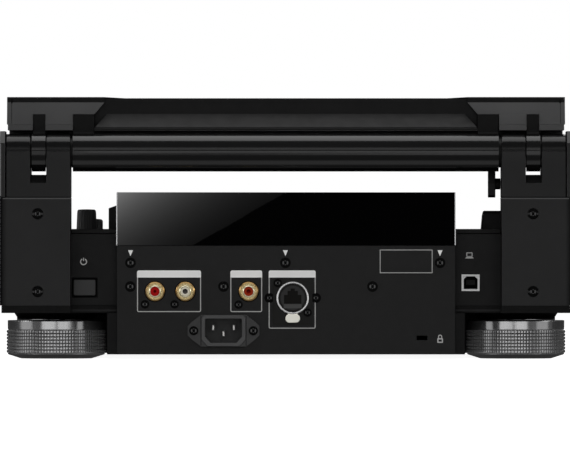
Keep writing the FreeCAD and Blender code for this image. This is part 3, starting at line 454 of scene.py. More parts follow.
def lathe(profile, centre, axis="Z", seg=64, mats_at=None):
    """Vertices and faces of a closed turned piece; profile is (radius, along) pairs from axis to axis."""
    verts, faces, fm = [], [], []
    rings = []
    for r, h in profile:
        if r < 1e-6:
            rings.append([len(verts)])
            verts.append((0.0, 0.0, h))
        else:
            rings.append(list(range(len(verts), len(verts) + seg)))
            for k in range(seg):
                a = 2 * math.pi * k / seg
                verts.append((r * math.cos(a), r * math.sin(a), h))
    for i in range(len(rings) - 1):
        a, b = rings[i], rings[i + 1]
        for k in range(seg):
            q = (k + 1) % seg
            if len(a) == 1 and len(b) == 1:
                continue
            if len(a) == 1:
                faces.append((a[0], b[k], b[q]))
            elif len(b) == 1:
                faces.append((a[k], b[0], a[q]))
            else:
                faces.append((a[k], b[k], b[q], a[q]))
            fm.append(mats_at[i] if mats_at else 0)
    out = []
    cx, cy, cz = centre
    for x, y, z in verts:
        if axis == "Z":
            out.append((cx + x, cy + y, cz + z))
        elif axis == "Y":
            out.append((cx - x, cy + z, cz + y))
        else:
            out.append((cx + z, cy + x, cz + y))
    return out, faces, fm


def turned(name, profile, centre, axis, mats, mats_at=None, seg=64, smooth=35):
    v, f, fm = lathe(profile, centre, axis, seg, mats_at)
    return obj_from(name, v, f, mats, fm if mats_at else None, smooth)


def arc(cx, cy, r, a0, a1, n):
    return [(cx + r * math.cos(math.radians(a0 + (a1 - a0) * i / n)), cy + r * math.sin(math.radians(a0 + (a1 - a0) * i / n))) for i in range(n + 1)]


def round_rect(x0, x1, z0, z1, r, n=6, corners=(1, 1, 1, 1)):
    """Outline anticlockwise from the lower left; corners: ll, lr, ur, ul rounded or square."""
    pts = []
    spec = [((x0, z0), (x0 + r, z0 + r), 180, 270), ((x1, z0), (x1 - r, z0 + r), 270, 360), ((x1, z1), (x1 - r, z1 - r), 0, 90), ((x0, z1), (x0 + r, z1 - r), 90, 180)]
    for on, (sq, c, a0, a1) in zip(corners, spec):
        pts += arc(c[0], c[1], r, a0, a1, n) if on and r > 0 else [sq]
    return pts


def slab(name, outline, y0, y1, m, holes=()):
    """A flat print or plate in the x-z plane, between y0 and y1, with optional holes of the same point count."""
    verts, faces = [], []
    n = len(outline)
    if holes:
        inner = holes[0]
        assert len(inner) == n
        for y in (y0, y1):
            verts += [(x, y, z) for x, z in outline]
            verts += [(x, y, z) for x, z in inner]
        for i in range(n):
            j = (i + 1) % n
            faces.append((i, j, n + j, n + i))
            faces.append((2 * n + i, 3 * n + i, 3 * n + j, 2 * n + j))
            faces.append((i, 2 * n + i, 2 * n + j, j))
            faces.append((n + i, n + j, 3 * n + j, 3 * n + i))
    else:
        for y in (y0, y1):
            verts += [(x, y, z) for x, z in outline]
        faces.append(tuple(range(n)))
        faces.append(tuple(range(2 * n - 1, n - 1, -1)))
        for i in range(n):
            j = (i + 1) % n
            faces.append((i, n + i, n + j, j))
    return obj_from(name, verts, faces, m)


def join(name, objs):
    bpy.ops.object.select_all(action="DESELECT")
    for o in objs:
        o.select_set(True)
    bpy.context.view_layer.objects.active = objs[0]
    bpy.ops.object.join()
    o = bpy.context.view_layer.objects.active
    o.name = name
    return o


def bevelled(o, w, seg=2, ang=35):
    b = o.modifiers.new("bevel", "BEVEL")
    b.width = w * MM
    b.segments = seg
    b.limit_method = "ANGLE"
    b.angle_limit = math.radians(ang)
    return o


# ------------------------------------------------------------------ knurled feet
def foot(name, node, cx, cy):
    """Turned foot with a real square knurl: 99 columns by 7 rows of raised pads between V grooves."""
    cols, rows, per, sub = 99, 7, 6, 6
    seg = cols * per
    z0, z1 = 3.6, 18.9
    pitch = (z1 - z0) / rows
    rise = (0.0, 0.94, 1.0, 1.0, 1.0, 0.94)
    verts, faces, fm, rings = [], [], [], []

    def ring(r_of, z):
        ids = []
        for k in range(seg):
            a = 2 * math.pi * k / seg
            r = r_of(k)
            ids.append(len(verts))
            verts.append((cx + r * math.cos(a), cy + r * math.sin(a), z))
        rings.append(ids)

    for r, z in ((0.01, 0.6), (18.0, 0.6), (18.0, 0.05), (23.2, 0.0), (23.9, 0.15), (31.4, 2.5), (32.1, 2.9), (32.2, 3.2), (31.9, 3.5)):
        ring(lambda k, r=r: r, z)
    n_low = len(rings)
    for i in range(rows * sub + 1):
        fv = rise[i % sub]
        ring(lambda k, fv=fv: 31.95 + 1.02 * min(rise[k % per], fv), z0 + pitch * i / sub)
    n_kn = len(rings)
    for r, z in ((31.8, 18.95), (31.7, 19.0), (31.7, 19.15), (32.15, 19.3), (32.2, 19.4), (32.2, 19.6), (32.2, 24.4), (32.2, 25.0), (32.1, 25.2), (31.7, 25.3), (24.0, 25.3), (6.2, 25.3), (0.01, 25.3)):
        ring(lambda k, r=r: r, z)
    # Painted shade: the top faces under the body are near black, and the knurl groove walls are darker than the pads.
    for i in range(len(rings) - 1):
        a, b = rings[i], rings[i + 1]
        for k in range(seg):
            q = (k + 1) % seg
            faces.append((a[k], a[q], b[q], b[k]))
            if i < n_low - 3:
                fm.append(1)
            elif i >= len(rings) - 6:
                fm.append(3)
            elif n_low <= i < n_kn - 1 and (k % per in (0, per - 1) or (i - n_low) % sub in (0, sub - 1)):
                fm.append(2)
            else:
                fm.append(0)
    faces.append(tuple(reversed(rings[0])))
    fm.append(1)
    faces.append(tuple(rings[-1]))
    fm.append(3)
    o = obj_from(name, verts, faces, [M["foot"], M["foot_dark"], M["foot_groove"], M["groove"]], fm, 30)
    stud_v, stud_f, _ = lathe([(0, 25.0), (5.9, 25.0), (5.9, 46.8), (5.2, 48.0), (0, 48.0)], (cx, cy, 0), "Z", 32)
    s = obj_from(name + "_stud", stud_v, stud_f, M["steel"], None, 35)
    o = join(name, [o, s])
    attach(o, node + "_part")
    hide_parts(node)
    return o


for nm, x, y in (("foot_rear_right", 152.1, 145.0), ("foot_rear_left", -152.1, 145.0), ("foot_front_right", 152.1, -165.0), ("foot_front_left", -152.1, -165.0)):
    foot("knurled_" + nm, nm, x, y)


# ------------------------------------------------------------------ coax jacks
def jack(x, z, inner, k, hole, hr):
    """Gold jack: stepped collar, rolled lip, sleeve over a coloured insert with its contact hole."""
    prof = [(0, 204.9), (6.3, 204.9), (6.3, 205.5), (5.5, 206.2), (5.2, 206.2), (4.95, 205.8), (4.0, 205.8), (3.9, 206.3), (3.85, 211.2), (4.0, 211.6), (4.0, 212.7),
            (3.85, 213.3), (3.5, 213.6), (3.2, 213.55), (3.0, 213.2), (2.98, 212.3), (2.8, 212.55), (hr + 0.2, 212.55), (hr + 0.05, 212.3), (hr, 207.5), (0, 207.5)]
    # One gold plating in three tones: the flange painted darker as shade, the rolled lip painted paler as highlight.
    at = [4] * 3 + [0] * 6 + [2] * 6 + [1] * 3 + [3] * 2
    return turned("jack%d" % k, prof, (x, 0, z), "Y", [M["gold"], inner, M["gold_highlight"], hole, M["gold_shade"]], at, seg=56)


jj = [jack(86.2, 44.6, M["red"], 1, M["red"], 0.8), jack(66.3, 44.6, M["white"], 2, M["insert_hole"], 1.6), jack(24.6, 44.6, M["orange"], 3, M["red"], 1.3)]

j = join("coax_jack_set", jj)
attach(j, "console")
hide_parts("coax_jacks")


def ride(o, body="console"):
    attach(o, body)
    return o


# Painted shade: dark discs behind the jacks and screws, for the shade in the pressed dimples round them.
RP = 205.0
dimple_shade = []
for x, z in ((86.2, 44.6), (66.3, 44.6), (24.6, 44.6)):
    dimple_shade.append(turned("dimple_shade_disc", [(0, RP - 0.02), (7.0, RP - 0.02), (7.0, RP + 0.03), (6.2, RP + 0.08), (0, RP + 0.08)], (x, 0, z), "Y", M["groove"], seg=40))
for x, z, r in [(102.3, 63.4, 3.5), (0.4, 63.4, 3.5), (-101.3, 63.4, 3.5), (102.4, 47.8, 3.5), (41.1, 47.8, 3.5), (-56.9, 47.8, 3.5),
                (92.8, 36.1, 2.8), (73.3, 36.1, 2.8), (31.2, 35.9, 2.8), (10.9, 40.3, 3.3), (-19.7, 40.3, 3.3)]:
    dimple_shade.append(turned("dimple_shade_disc", [(0, RP - 0.02), (r, RP - 0.02), (r, RP + 0.02), (r - 0.3, RP + 0.05), (0, RP + 0.05)], (x, 0, z), "Y", M["groove"], seg=32))
ride(join("panel_dimple_shade", dimple_shade))

# Painted highlights: light quadrants round the driver recess of each black screw, and light dashes across each tower
# screw head, standing in for glints on the recess edges.
quads = []
for x, z, y, k in ([(x, z, RP + 1.3, 1.0) for x, z in ((102.3, 63.4), (0.4, 63.4), (-101.3, 63.4), (102.4, 47.8), (41.1, 47.8), (-56.9, 47.8))]
                   + [(x, z, RP + 1.3, 0.75) for x, z in ((92.8, 36.1), (73.3, 36.1), (31.2, 35.9), (10.9, 40.3), (-19.7, 40.3))]
                   + [(60.7, 18.75, RP + 3.5, 0.95), (21.5, 18.75, RP + 3.5, 0.95), (5.4, 50.1, RP + 2.5, 0.8), (-14.2, 30.7, RP + 2.5, 0.8)]
                   + [(x, z, 215.2, 0.95) for x in (163.2, -162.4) for z in (95.6, 44.5)]):
    for mid_a, half, r0, r1 in ((0, 40, 1.0, 1.95), (180, 40, 1.0, 1.95), (90, 24, 1.1, 1.45), (270, 24, 1.1, 1.45)):
        o_ = arc(x, z, r1 * k, mid_a - half, mid_a + half, 6)
        i_ = arc(x, z, r0 * k, mid_a - half, mid_a + half, 6)
        quads.append(slab("quad", o_ + i_[::-1], y - 0.01, y + 0.07, M["screw_glint"]))
for x in (163.2, -162.4):
    for z in (95.6, 44.5):
        for dx in (-3.3, -2.55, 2.55, 3.3):
            quads.append(slab("quad", [(x + dx - 0.14, z - 0.7), (x + dx + 0.14, z - 0.7), (x + dx + 0.14, z + 0.7), (x + dx - 0.14, z + 0.7)], 215.1, 215.3, M["screw_glint"]))
ride(join("screw_glints", quads))

# Dark joint line along the barrel and its outer knuckles.
bl_r = 12.705
bl_v, bl_f = [], []
for x0, x1 in ((-139.6, 139.6), (158.3, 166.9), (-166.9, -158.3)):
    k = len(bl_v)
    for r in (bl_r - 0.5, bl_r):
        for a in (4.1, 6.6):
            y_, z_ = 204.35 + r * math.cos(math.radians(a)), 136.1 + r * math.sin(math.radians(a))
            bl_v += [(x0, y_, z_), (x1, y_, z_)]
    bl_f += [tuple(k + i for i in q) for q in ((0, 1, 3, 2), (4, 6, 7, 5), (0, 4, 5, 1), (2, 3, 7, 6), (0, 2, 6, 4), (1, 5, 7, 3))]
ride(obj_from("barrel_joint_lines", bl_v, bl_f, M["pin"]), "display")

# Mains inlet: lighter face frame and bright blades.
IX, IZ = 41.1, 18.75
rim_out = [(IX - 12.6, IZ + 10.2), (IX + 12.6, IZ + 10.2), (IX + 14.5, IZ + 8.3), (IX + 14.5, IZ - 5.8), (IX + 10.6, IZ - 10.2), (IX - 10.6, IZ - 10.2), (IX - 14.5, IZ - 5.8), (IX - 14.5, IZ + 8.3)]
rim_in = [(IX - 11.4, IZ + 7.95), (IX + 11.4, IZ + 7.95), (IX + 12.15, IZ + 7.2), (IX + 12.15, IZ - 4.0), (IX + 8.5, IZ - 7.95), (IX - 8.5, IZ - 7.95), (IX - 12.15, IZ - 4.0), (IX - 12.15, IZ + 7.2)]
fr = bevelled(slab("inlet_face", rim_out, RP + 3.0, RP + 3.55, M["inlet_rim"], holes=[rim_in]), 0.25, 2)
ride(fr)
ears = [slab("ear_line", [(IX + e - 0.2, IZ - 9.9), (IX + e + 0.2, IZ - 9.9), (IX + e + 0.2, IZ + 9.9), (IX + e - 0.2, IZ + 9.9)], RP + 2.19, RP + 2.23, M["groove"]) for e in (-14.85, 14.85)]
ears.append(slab("inlet_floor", [(a, b) for a, b in rim_in], 188.55, 188.9, M["inlet"]))
ride(join("inlet_lines", ears))
bl = []
for dx, dz in ((-6.8, 2.0), (0, -2.0), (6.8, 2.0)):
    b_ = bevelled(slab("blade", [(IX + dx - 0.68, IZ + dz - 1.65), (IX + dx + 0.68, IZ + dz - 1.65), (IX + dx + 0.68, IZ + dz + 1.65), (IX + dx - 0.68, IZ + dz + 1.65)], 189.0, 204.5, M["blade"]), 0.3, 2)
    bl.append(b_)
for o in bl:
    bpy.ops.object.select_all(action="DESELECT")
    bpy.context.view_layer.objects.active = o
    o.select_set(True)
    bpy.ops.object.modifier_apply(modifier="bevel")
ride(join("inlet_blades", bl))

# Square data port: dark lining with cut corners, and its dark tongue.
PX0, PX1, PZ0, PZ1 = -126.1, -117.1, 46.2, 54.4
lin = [slab("lin", [(PX0 + 0.02, PZ0 + 0.02), (PX1 - 0.02, PZ0 + 0.02), (PX1 - 0.02, PZ1 - 0.02), (PX0 + 0.02, PZ1 - 0.02)], 186.05, 186.5, M["groove"]),
       slab("lin", [(PX0 + 0.02, PZ0 + 0.02), (PX0 + 0.3, PZ0 + 0.02), (PX0 + 0.3, PZ1 - 0.02), (PX0 + 0.02, PZ1 - 0.02)], 186.1, 197.5, M["cavity"]),
       slab("lin", [(PX1 - 0.3, PZ0 + 0.02), (PX1 - 0.02, PZ0 + 0.02), (PX1 - 0.02, PZ1 - 0.02), (PX1 - 0.3, PZ1 - 0.02)], 186.1, 197.5, M["cavity"]),
       slab("lin", [(PX0 + 0.3, PZ1 - 0.3), (PX1 - 0.3, PZ1 - 0.3), (PX1 - 0.3, PZ1 - 0.02), (PX0 + 0.3, PZ1 - 0.02)], 186.1, 197.5, M["cavity"]),
       slab("lin", [(PX0 + 0.3, PZ0 + 0.02), (PX1 - 0.3, PZ0 + 0.02), (PX1 - 0.3, PZ0 + 0.3), (PX0 + 0.3, PZ0 + 0.3)], 186.1, 197.5, M["cavity"]),
       slab("corner", [(PX0 + 0.02, PZ1 - 1.7), (PX0 + 1.7, PZ1 - 0.02), (PX0 + 0.02, PZ1 - 0.02)], 190.0, 197.6, M["port"]),
       slab("corner", [(PX1 - 0.02, PZ1 - 1.7), (PX1 - 0.02, PZ1 - 0.02), (PX1 - 1.7, PZ1 - 0.02)], 190.0, 197.6, M["port"]),
       slab("tongue", [(-124.5, 48.7), (-118.7, 48.7), (-118.7, 52.1), (-124.5, 52.1)], 186.5, 196.5, M["cavity"])]
ride(join("data_port_lining", lin))


# Fluted speed knob.
def fluted(name, prof, flutes, depth, lo, hi):
    verts, faces, rings = [], [], []
    seg = flutes * 6
    for r, h in prof:
        ids = []
        for k in range(seg):
            a = 2 * math.pi * k / seg
            d = depth * max(0.0, math.cos(2 * math.pi * (k % 6) / 6)) if lo <= h <= hi else 0.0
            ids.append(len(verts))
            verts.append(((r - d) * math.cos(a), (r - d) * math.sin(a), h))
        rings.append(ids)
    for a, b in zip(rings, rings[1:]):
        for k in range(seg):
            q = (k + 1) % seg
            faces.append((a[k], a[q], b[q], b[k]))
    faces.append(tuple(reversed(rings[0])))
    faces.append(tuple(rings[-1]))
    return obj_from(name, verts, faces, M["rubber"], None, 32)


# ------------------------------------------------------------------ printed frames on the panel
Y0, Y1 = RP - 0.01, RP + 0.04


def outline_box(x0, x1, z0, z1, r, w, key, y0=Y0, y1=Y1, name="frame"):
    return slab(name, round_rect(x0, x1, z0, z1, r), y0, y1, M[key], holes=[round_rect(x0 + w, x1 - w, z0 + w, z1 - w, max(r - w, 0.3))])


def header(x0, x1, z0, z1, r):
    return slab("band", round_rect(x0, x1, z0, z1, r, corners=(0, 0, 1, 1)), Y0, Y1 + 0.01, M["print_light"])


prints = [outline_box(55.9, 98.0, 31.0, 58.4, 1.2, 0.62, "print"), outline_box(15.7, 36.6, 31.0, 58.4, 1.2, 0.62, "print"),
          outline_box(-19.5, 11.4, 20.1, 58.4, 1.2, 0.62, "print"), outline_box(-96.4, -61.7, 56.6, 72.1, 0.25, 0.5, "print"),
          header(55.9, 98.0, 53.7, 58.4, 1.2), header(15.7, 36.6, 53.7, 58.4, 1.2), header(-19.5, 11.4, 53.7, 58.4, 1.2)]
for x in (102.3, 0.4, -101.3):
    prints.append(slab("arrow", [(x - 1.65, 71.7), (x, 67.8), (x + 1.65, 71.7)], Y0, Y1, M["print_light"]))
# Padlock mark by the lock slot.
px, pz = -101.4, 13.4
prints.append(slab("lock_body", round_rect(px - 1.9, px + 1.9, pz - 2.7, pz + 0.4, 0.5), Y0, Y1, M["print"], holes=[round_rect(px - 1.1, px + 1.1, pz - 1.9, pz - 0.4, 0.3)]))
sh_out = [(px + 1.35, pz + 0.4)] + arc(px, pz + 1.4, 1.35, 0, 180, 10) + [(px - 1.35, pz + 0.4)]
sh_in = [(px + 0.75, pz + 0.4)] + arc(px, pz + 1.4, 0.75, 0, 180, 10) + [(px - 0.75, pz + 0.4)]
n = len(sh_out)
v, f = [], []
for y in (Y0, Y1):
    v += [(a, y, b) for a, b in sh_out] + [(a, y, b) for a, b in sh_in]
for i in range(n - 1):
    f += [(i, i + 1, n + i + 1, n + i), (2 * n + i, 3 * n + i, 3 * n + i + 1, 2 * n + i + 1), (i, 2 * n + i, 2 * n + i + 1, i + 1), (n + i, n + i + 1, 3 * n + i + 1, 3 * n + i)]
prints.append(obj_from("lock_bow", v, f, M["print"]))
ride(join("panel_prints", prints))

# Painted highlights: a light line along the upper edge of each lower tower, where its bevel catches the top light, and
# a light line down the outer rear edge of each side plate.
tops = [slab("seam_highlight_line", [(a, 105.3), (b, 105.3), (b, 106.0), (a, 106.0)], 216.9, 217.02, M["seam_highlight"]) for a, b in ((140.8, 186.0), (-186.0, -140.8))]
tops += [slab("plate_highlight_line", [(s * 187.25, 107.5), (s * 188.05, 107.5), (s * 188.05, 141.6), (s * 187.25, 141.6)], 216.4, 217.03, M["plate_edge_highlight"]) for s in (1, -1)]
ride(join("tower_edge_highlights", tops))

# Vertical seam near each end of the display's rear face.
ends = [slab("end_line", [(x - 0.45, 150.9), (x + 0.45, 150.9), (x + 0.45, 171.0), (x - 0.45, 171.0)], 199.0, 201.0, M["groove"]) for x in (180.4, -180.4)]
ride(join("display_end_lines", ends), "display")

# Marks on the side covers: a power ring and a laptop outline.
C0, C1 = 197.0 - 0.01, 197.0 + 0.04
marks = []
cx, cz = 133.3, 64.1
ro = arc(cx, cz, 2.3, 118, 422, 28)
ri = arc(cx, cz, 1.6, 118, 422, 28)
n = len(ro)
v, f = [], []
for y in (C0, C1):
    v += [(a, y, b) for a, b in ro] + [(a, y, b) for a, b in ri]
for i in range(n - 1):
    f += [(i, i + 1, n + i + 1, n + i), (2 * n + i, 3 * n + i, 3 * n + i + 1, 2 * n + i + 1), (i, 2 * n + i, 2 * n + i + 1, i + 1), (n + i, n + i + 1, 3 * n + i + 1, 3 * n + i)]
marks.append(obj_from("power_ring", v, f, M["print"]))
marks.append(slab("power_bar", [(cx - 0.3, cz + 0.5), (cx + 0.3, cz + 0.5), (cx + 0.3, cz + 2.6), (cx - 0.3, cz + 2.6)], C0, C1, M["print"]))
lx, lz = -120.8, 68.0
marks.append(slab("laptop_lid", round_rect(lx - 2.0, lx + 2.0, lz - 0.6, lz + 2.2, 0.4), C0, C1, M["print"], holes=[round_rect(lx - 1.5, lx + 1.5, lz - 0.2, lz + 1.7, 0.25)]))
marks.append(slab("laptop_base", [(lx - 2.9, lz - 1.7), (lx + 2.9, lz - 1.7), (lx + 2.1, lz - 0.9), (lx - 2.1, lz - 0.9)], C0, C1, M["print"]))
# Painted highlight: a lighter band along the lower lip of each side cover.
for x0, x1 in ((111.6, 141.3), (-141.3, -111.6)):
    marks.append(slab("lip", [(x0, 31.4), (x1, 31.4), (x1, 32.7), (x0, 32.7)], 197.0, 197.12, M["cover_lip_highlight"]))
ride(join("cover_marks", marks))

# Bright edges of the gloss panel.
edges = []
for s in (1, -1):
    x0, x1 = (111.05, 111.62) if s > 0 else (-111.62, -111.05)
    e = slab("edge", round_rect(x0, x1, 75.0, 109.7, 0.12, 2), 204.6, 205.7, M["edge"])
    edges.append(e)
ride(join("gloss_edges", edges))

# ------------------------------------------------------------------ network connector face
NX, NZ = -4.4, 40.3
parts = [turned("ring", [(9.6, 206.0), (10.7, 206.0), (10.85, 206.4), (10.85, 207.5), (10.6, 207.9), (10.3, 208.0), (9.9, 208.0), (9.55, 207.9), (9.35, 207.5), (9.35, 206.0), (9.6, 206.0)],
                (NX, 0, NZ), "Y", M["silver"], seg=96)]
slit = 0.01
circle = [(NX + 8.0 * math.cos(math.radians(a)), NZ + 8.0 * math.sin(math.radians(a))) for a in [-89.9 + 359.8 * i / 72 for i in range(73)]]
step_r = [(5.7, -3.9), (5.7, 2.0), (3.4, 2.0), (3.4, 4.6), (1.4, 4.6), (1.4, 6.2)]
opening = [(NX - slit, NZ - 3.9)] + [(NX - a, NZ + b) for a, b in step_r] + [(NX + a, NZ + b) for a, b in reversed(step_r)] + [(NX + slit, NZ - 3.9)]
# Painted shade: the plate just behind the stepped opening is near black for the depth of the socket.
pins = [slab("cup_face", circle + opening, 206.15, 206.9, M["cup"]),
        turned("well", [(0, 206.02), (9.4, 206.02), (9.4, 206.12), (0, 206.12)], (NX, 0, NZ), "Y", M["groove"], seg=72),
        slab("cup_back", round_rect(NX - 5.95, NX + 5.95, NZ - 4.25, NZ + 6.25, 0.2), 206.13, 206.3, M["socket_shade"]),
        slab("sill", round_rect(NX - 5.9, NX + 5.9, NZ - 6.8, NZ - 4.0, 0.5), 206.5, 207.0, M["sill"])]
for k in range(8):
    x = NX - 3.57 + 1.02 * k
    pins.append(slab("contact", [(x - 0.2, NZ - 3.6), (x + 0.2, NZ - 3.6), (x + 0.2, NZ - 2.9), (x - 0.2, NZ - 2.9)], 194.0, 198.0, M["cup"]))
ride(join("network_ring", parts))
ride(join("network_inside", pins))

# Latch tab: a rounded pill with a short neck.
pill = round_rect(NX - 4.8, NX + 4.8, 24.0, 29.6, 2.6, 8)
neck = [(NX - 3.7, 28.0), (NX + 3.7, 28.0), (NX + 2.9, 30.7), (NX - 2.9, 30.7)]
l1 = bevelled(slab("latch_pill", pill, 206.5, 208.4, M["cream"]), 0.5, 3)
l2 = bevelled(slab("latch_neck", neck, 206.5, 207.9, M["cream"]), 0.3, 2)
for o in (l1, l2):
    bpy.ops.object.select_all(action="DESELECT")
    bpy.context.view_layer.objects.active = o
    o.select_set(True)
    bpy.ops.object.modifier_apply(modifier="bevel")
lt = join("latch_tab", [l1, l2])
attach(lt, "network_latch_part")
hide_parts("network_latch")

# ------------------------------------------------------------------ deck details, in the deck's own slope
TILT = math.radians(3.0)


def deck_xf(o, x=0.0, run=0.0, rise=0.0):
    mtx = Matrix.Translation(Vector((x * MM, (197.0 + run * math.cos(TILT) - rise * math.sin(TILT)) * MM, (85.7 + run * math.sin(TILT) + rise * math.cos(TILT)) * MM))) @ Matrix.Rotation(TILT, 4, "X")
    o.data.transform(mtx)
    return o


def deck_ring(name, r0, r1, h0, h1, x, run, m, seg=72):
    o = turned(name, [(r0, h0), (r1, h0), (r1, h1), (r0, h1), (r0, h0)], (0, 0, 0), "Z", m, seg=seg)
    return deck_xf(o, x, run)


def deck_plate(name, outline, h0, h1, m, x=0.0, run=0.0):
    n = len(outline)
    v = [(a, b, h0) for a, b in outline] + [(a, b, h1) for a, b in outline]
    f = [tuple(range(n)), tuple(range(2 * n - 1, n - 1, -1))] + [(i, n + i, n + (i + 1) % n, (i + 1) % n) for i in range(n)]
    return deck_xf(obj_from(name, v, f, m), x, run)


kb = deck_xf(fluted("speed_knob_fluted", [(3.1, -9.9), (3.1, 1.0), (6.75, 1.0), (6.8, 1.4), (6.8, 2.4), (6.75, 2.8), (6.3, 13.8), (6.2, 14.4), (6.05, 15.1), (5.5, 15.7), (4.2, 15.8)], 22, 0.32, 2.5, 13.8), 132.1, -57.1)
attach(kb, "speed_knob_part")
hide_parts("speed_knob")
ride(deck_ring("play_lamp", 17.2, 19.0, -0.05, 0.35, -148.0, -384.0, M["lamp_green"]))
ride(deck_ring("cue_lamp", 17.2, 19.0, -0.05, 0.35, -148.0, -340.0, M["lamp_orange"]))
ride(deck_ring("wheel_seat", 104.6, 107.4, -0.05, 0.9, 0, -249.3, M["trim"]))
ride(deck_ring("selector_ring", 9.0, 10.2, -0.05, 0.6, 130.4, -100.0, M["silver"]))
ride(deck_ring("loop_ring_a", 10.2, 11.0, -0.05, 0.2, -160.0, -140.0, M["lamp_orange"]))
ride(deck_ring("loop_ring_b", 10.2, 11.0, -0.05, 0.2, -134.0, -140.0, M["lamp_orange"]))
ticks = []
for k in range(21):
    wlen = 5.0 if k % 5 == 0 else 3.0
    ticks.append(deck_plate("tick", [(-wlen / 2, -0.18), (wlen / 2, -0.18), (wlen / 2, 0.18), (-wlen / 2, 0.18)], -0.01, 0.04, M["print"], 162.0, -320.0 + 5.0 * k))
ticks.append(deck_plate("slider_frame", round_rect(-9.4, 9.4, -64.0, 64.0, 3.0), -0.01, 0.02, M["trim"], 147.0, -270.0))
ride(join("tempo_marks", ticks))

# Button faces: play triangle with pause bars, cue bar.
pm = [deck_plate("play_tri", [(-6.5, -3.2), (-1.0, 0.0), (-6.5, 3.2)], 3.58, 3.64, M["print_light"], -148.0, -384.0),
      deck_plate("pause_a", [(1.6, -3.0), (2.9, -3.0), (2.9, 3.0), (1.6, 3.0)], 3.58, 3.64, M["print_light"], -148.0, -384.0),
      deck_plate("pause_b", [(4.6, -3.0), (5.9, -3.0), (5.9, 3.0), (4.6, 3.0)], 3.58, 3.64, M["print_light"], -148.0, -384.0)]
ride(join("play_mark", pm), "play_button_part")
ride(deck_plate("cue_mark", [(-5.0, -0.6), (5.0, -0.6), (5.0, 0.6), (-5.0, 0.6)], 3.58, 3.64, M["print_light"], -148.0, -340.0), "cue_button_part")
ride(deck_plate("back_mark", [(-3.0, 0.0), (2.6, -3.0), (2.6, 3.0)], 2.78, 2.84, M["print_light"], -160.0, -304.0), "track_back_button_part")
ride(deck_plate("next_mark", [(3.0, 0.0), (-2.6, 3.0), (-2.6, -3.0)], 2.78, 2.84, M["print_light"], -136.0, -304.0), "track_next_button_part")
ride(deck_plate("slider_line", [(-8.6, -0.35), (8.6, -0.35), (8.6, 0.35), (-8.6, 0.35)], 9.38, 9.46, M["print_light"], 147.0, -270.0), "tempo_knob_part")
# Wheel face: spun rings, position dot on the centre display.
ride(deck_ring("plate_ring_a", 83.0, 84.4, 12.0, 12.5, 0, -249.3, M["silver"], 128), "jog_wheel")
ride(deck_ring("plate_ring_b", 33.0, 34.2, 12.0, 12.4, 0, -249.3, M["silver"], 96), "jog_wheel")
ride(deck_ring("display_ring", 22.0, 23.4, 12.6, 12.85, 0, -249.3, M["lamp_white"], 96))
ride(deck_ring("display_dot", 0.02, 2.2, 12.6, 12.86, 0, -232.0, M["lamp_blue"], 32))

# ------------------------------------------------------------------ floor, lights and world
floor_me = bpy.data.meshes.new("floor")
floor_me.from_pydata([(-30, -30, 0), (30, -30, 0), (30, 30, 0), (-30, 30, 0)], [], [(0, 1, 2, 3)])
floor = bpy.data.objects.new("floor", floor_me)
bpy.context.scene.collection.objects.link(floor)
fm_, nt, bs = mat("floor_white")
bs.inputs["Base Color"].default_value = (0.7, 0.7, 0.7, 1)
bs.inputs["Roughness"].default_value = 0.9
bs.inputs["Specular IOR Level"].default_value = 0.0
bs.inputs["Emission Color"].default_value = (1, 1, 1, 1)
bs.inputs["Emission Strength"].default_value = 0.94
floor_me.materials.append(fm_)
floor.visible_diffuse = False
floor.visible_glossy = False
floor.visible_shadow = False

world = bpy.data.worlds.new("world")
bpy.context.scene.world = world
world.use_nodes = True
wt = world.node_tree
for n_ in list(wt.nodes):
    wt.nodes.remove(n_)
wo = wt.nodes.new("ShaderNodeOutputWorld")
mixw = wt.nodes.new("ShaderNodeMixShader")
lp = wt.nodes.new("ShaderNodeLightPath")
b1 = wt.nodes.new("ShaderNodeBackground")
b2 = wt.nodes.new("ShaderNodeBackground")
b1.inputs[0].default_value = (1, 1, 1, 1)
b1.inputs[1].default_value = 0.11
b2.inputs[0].default_value = (1, 1, 1, 1)
b2.inputs[1].default_value = 1.0
wt.links.new(lp.outputs["Is Camera Ray"], mixw.inputs[0])
wt.links.new(b1.outputs[0], mixw.inputs[1])
wt.links.new(b2.outputs[0], mixw.inputs[2])
wt.links.new(mixw.outputs[0], wo.inputs[0])


def area(name, loc, target, size, power, sy=None):
    d = bpy.data.lights.new(name, "AREA")
    d.shape = "RECTANGLE"
    d.size = size
    d.size_y = sy or size
    d.energy = power
    o = bpy.data.objects.new(name, d)
    bpy.context.scene.collection.objects.link(o)
    o.location = loc
    o.rotation_mode = "QUATERNION"
    o.rotation_quaternion = (Vector(target) - Vector(loc)).to_track_quat("-Z", "Y")
    return o


area("top_softbox", (0, 0.09, 1.55), (0, 0.09, 0.1), 2.6, 18.0, 1.1)
area("side_soft_a", (2.3, 0.9, 0.9), (0.1, 0.1, 0.1), 1.0, 3.0)
area("side_soft_b", (-2.3, 0.9, 0.9), (-0.1, 0.1, 0.1), 1.0, 3.0)
area("front_soft", (-0.6, -2.2, 1.5), (0, 0, 0.1), 1.6, 16.0)
# Broad fill from the photographer's side; polished faces don't mirror it.
fill = area("rear_fill", (0, 4.4, 1.3), (0, 0.2, 0.08), 3.4, 95.0, 2.0)
fill.visible_glossy = False


